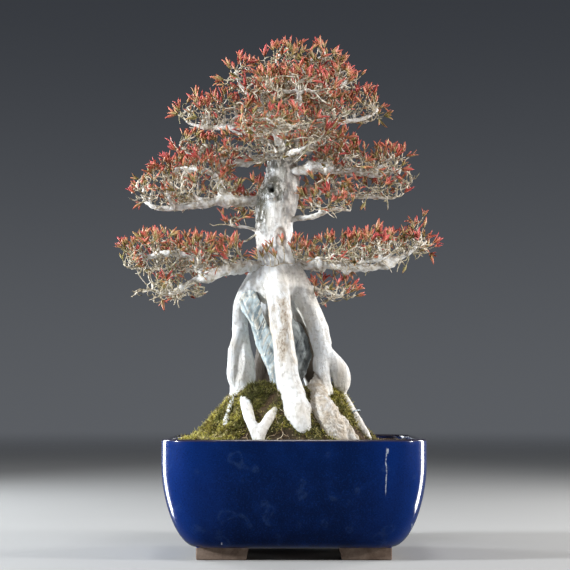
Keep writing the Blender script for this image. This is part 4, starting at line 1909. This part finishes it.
runner = smooth_line([before_bark(x, z, ON_BARK) for x, z in RUNNER], RUNNER_STEP)
runner_chains = [[(place, RUNNER_RADIUS) for place in runner]]
for x, z in SHOOT_TIPS:
    low_end = min(runner, key=lambda place: abs(place.x - x - 0.003))
    tip = before_bark(x, z, OFF_BARK)
    bend = low_end.lerp(tip, 0.5) + Vector((0.0015, -0.0020, 0))
    line = smooth_line([low_end, bend, tip], RUNNER_STEP)
    radii = [RUNNER_RADIUS * (1.1 - 0.4 * k / len(line)) for k in range(len(line))]
    runner_chains.append(list(zip(line, radii)))
    heading = ((tip - bend).normalized() + UP * 1.4).normalized()
    spots.cluster(tip, heading, spots.chance.choice((3, 4, 5)), RUNNER_LEAF, 0.42)
place_piece("runner_twigs", swept_wood(LIMB_TREE, runner_chains, 6, 1.0, 400.0))
place_piece("runner_leaves", run_tree(LEAF_TREE, spots.mesh(), {"Shapes": leaf_shelf}))

# %% [markdown]
# ## Straw, rootlets and the tie wire
#
# Dry straw and pale rootlets lie about on the moss and the soil. A thin aluminium wire holds the lower
# right root down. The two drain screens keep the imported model's shape and only get their black plastic.

# %% Straw and rootlets
STRAWS, STRAW_STEP, STRAW_RADIUS = 120, 0.0032, 0.00028
STRAW_ENDS = (0.130, 0.098)
straw = Finish("straw", Roughness=0.8, Specular_IOR_Level=0.2)
dry = straw.at.noise(150, 3).ramp((0.38, (0.24, 0.155, 0.075)), (0.62, (0.66, 0.57, 0.42)))
straw.give("Base Color", dry)
chance = random.Random(90)
straws = []
for _ in range(STRAWS):
    x, y = chance.uniform(-0.125, 0.105), chance.uniform(-0.095, 0.060)
    angle, turn = chance.uniform(0, math.tau), chance.uniform(-0.6, 0.6)
    lift = 0.0022 + (0.0045 if in_moss(x, y) else 0)
    chain = []
    for _ in range(chance.randint(3, 6)):
        x += math.cos(angle) * STRAW_STEP
        y += math.sin(angle) * STRAW_STEP
        angle += turn + chance.uniform(-0.3, 0.3)
        if abs(x) > STRAW_ENDS[0] or abs(y) > STRAW_ENDS[1]:
            break
        z = rough_soil(x, y) + lift + chance.uniform(-0.0015, 0.0015)
        chain.append((Vector((x, y, z)), STRAW_RADIUS))
    if len(chain) > 2:
        straws.append(chain)
place_piece("straw", swept_wood(sweep_tree(straw.material), straws, 3, 0.3, 300.0))

# %% Tie wire
WIRE_RADIUS, WIRE_CLEAR, WIRE_LEG = 0.0009, 0.0016, 0.030
WIRE_OVER, WIRE_BENDS, WIRE_SIDES = 6, 16, 12
aluminium = Finish("aluminium wire", Metallic=1.0, Roughness=0.38)
aluminium.give("Base Color", aluminium.at.noise(300, 2).mixed((0.20, 0.24, 0.27), (0.34, 0.38, 0.41)))
rows = ROOTS["right_knee"]
middle = Vector(rows[WIRE_OVER][:3])
along = (Vector(rows[WIRE_OVER + 1][:3]) - Vector(rows[WIRE_OVER - 1][:3])).normalized()
across = along.cross(UP).normalized()
outwards = across.cross(along).normalized()
reach = rows[WIRE_OVER][3] + WIRE_RADIUS + WIRE_CLEAR
arch = [middle + (across * math.cos(a) + outwards * math.sin(a)) * reach
        for a in (math.pi * k / WIRE_BENDS for k in range(WIRE_BENDS + 1))]
loop = [arch[0] - UP * WIRE_LEG, arch[0] - UP * WIRE_LEG / 2, *arch,
        arch[-1] - UP * WIRE_LEG / 2, arch[-1] - UP * WIRE_LEG]
wire = mesh_from("wire", *bar_shape(loop, [WIRE_RADIUS] * len(loop), WIRE_SIDES))
place_piece("wire_loop", wire, aluminium.material, ["tie_wire"])

# %% Drain screens
screen = Finish("black screen", Roughness=0.6)
screen.give("Base Color", screen.at.noise(200, 2).mixed((0.020, 0.020, 0.020), (0.040, 0.040, 0.042)))
for name in ("drain_screen_left", "drain_screen_right"):
    for holder in frame["nodes"][name].material_slots:
        holder.material = screen.material
print(len(straws), "straws, one wire and two screens")

# %% Clear the shelves and finish
for group in (grains, tufts, leaf_shelf):
    clear_shelf(group)
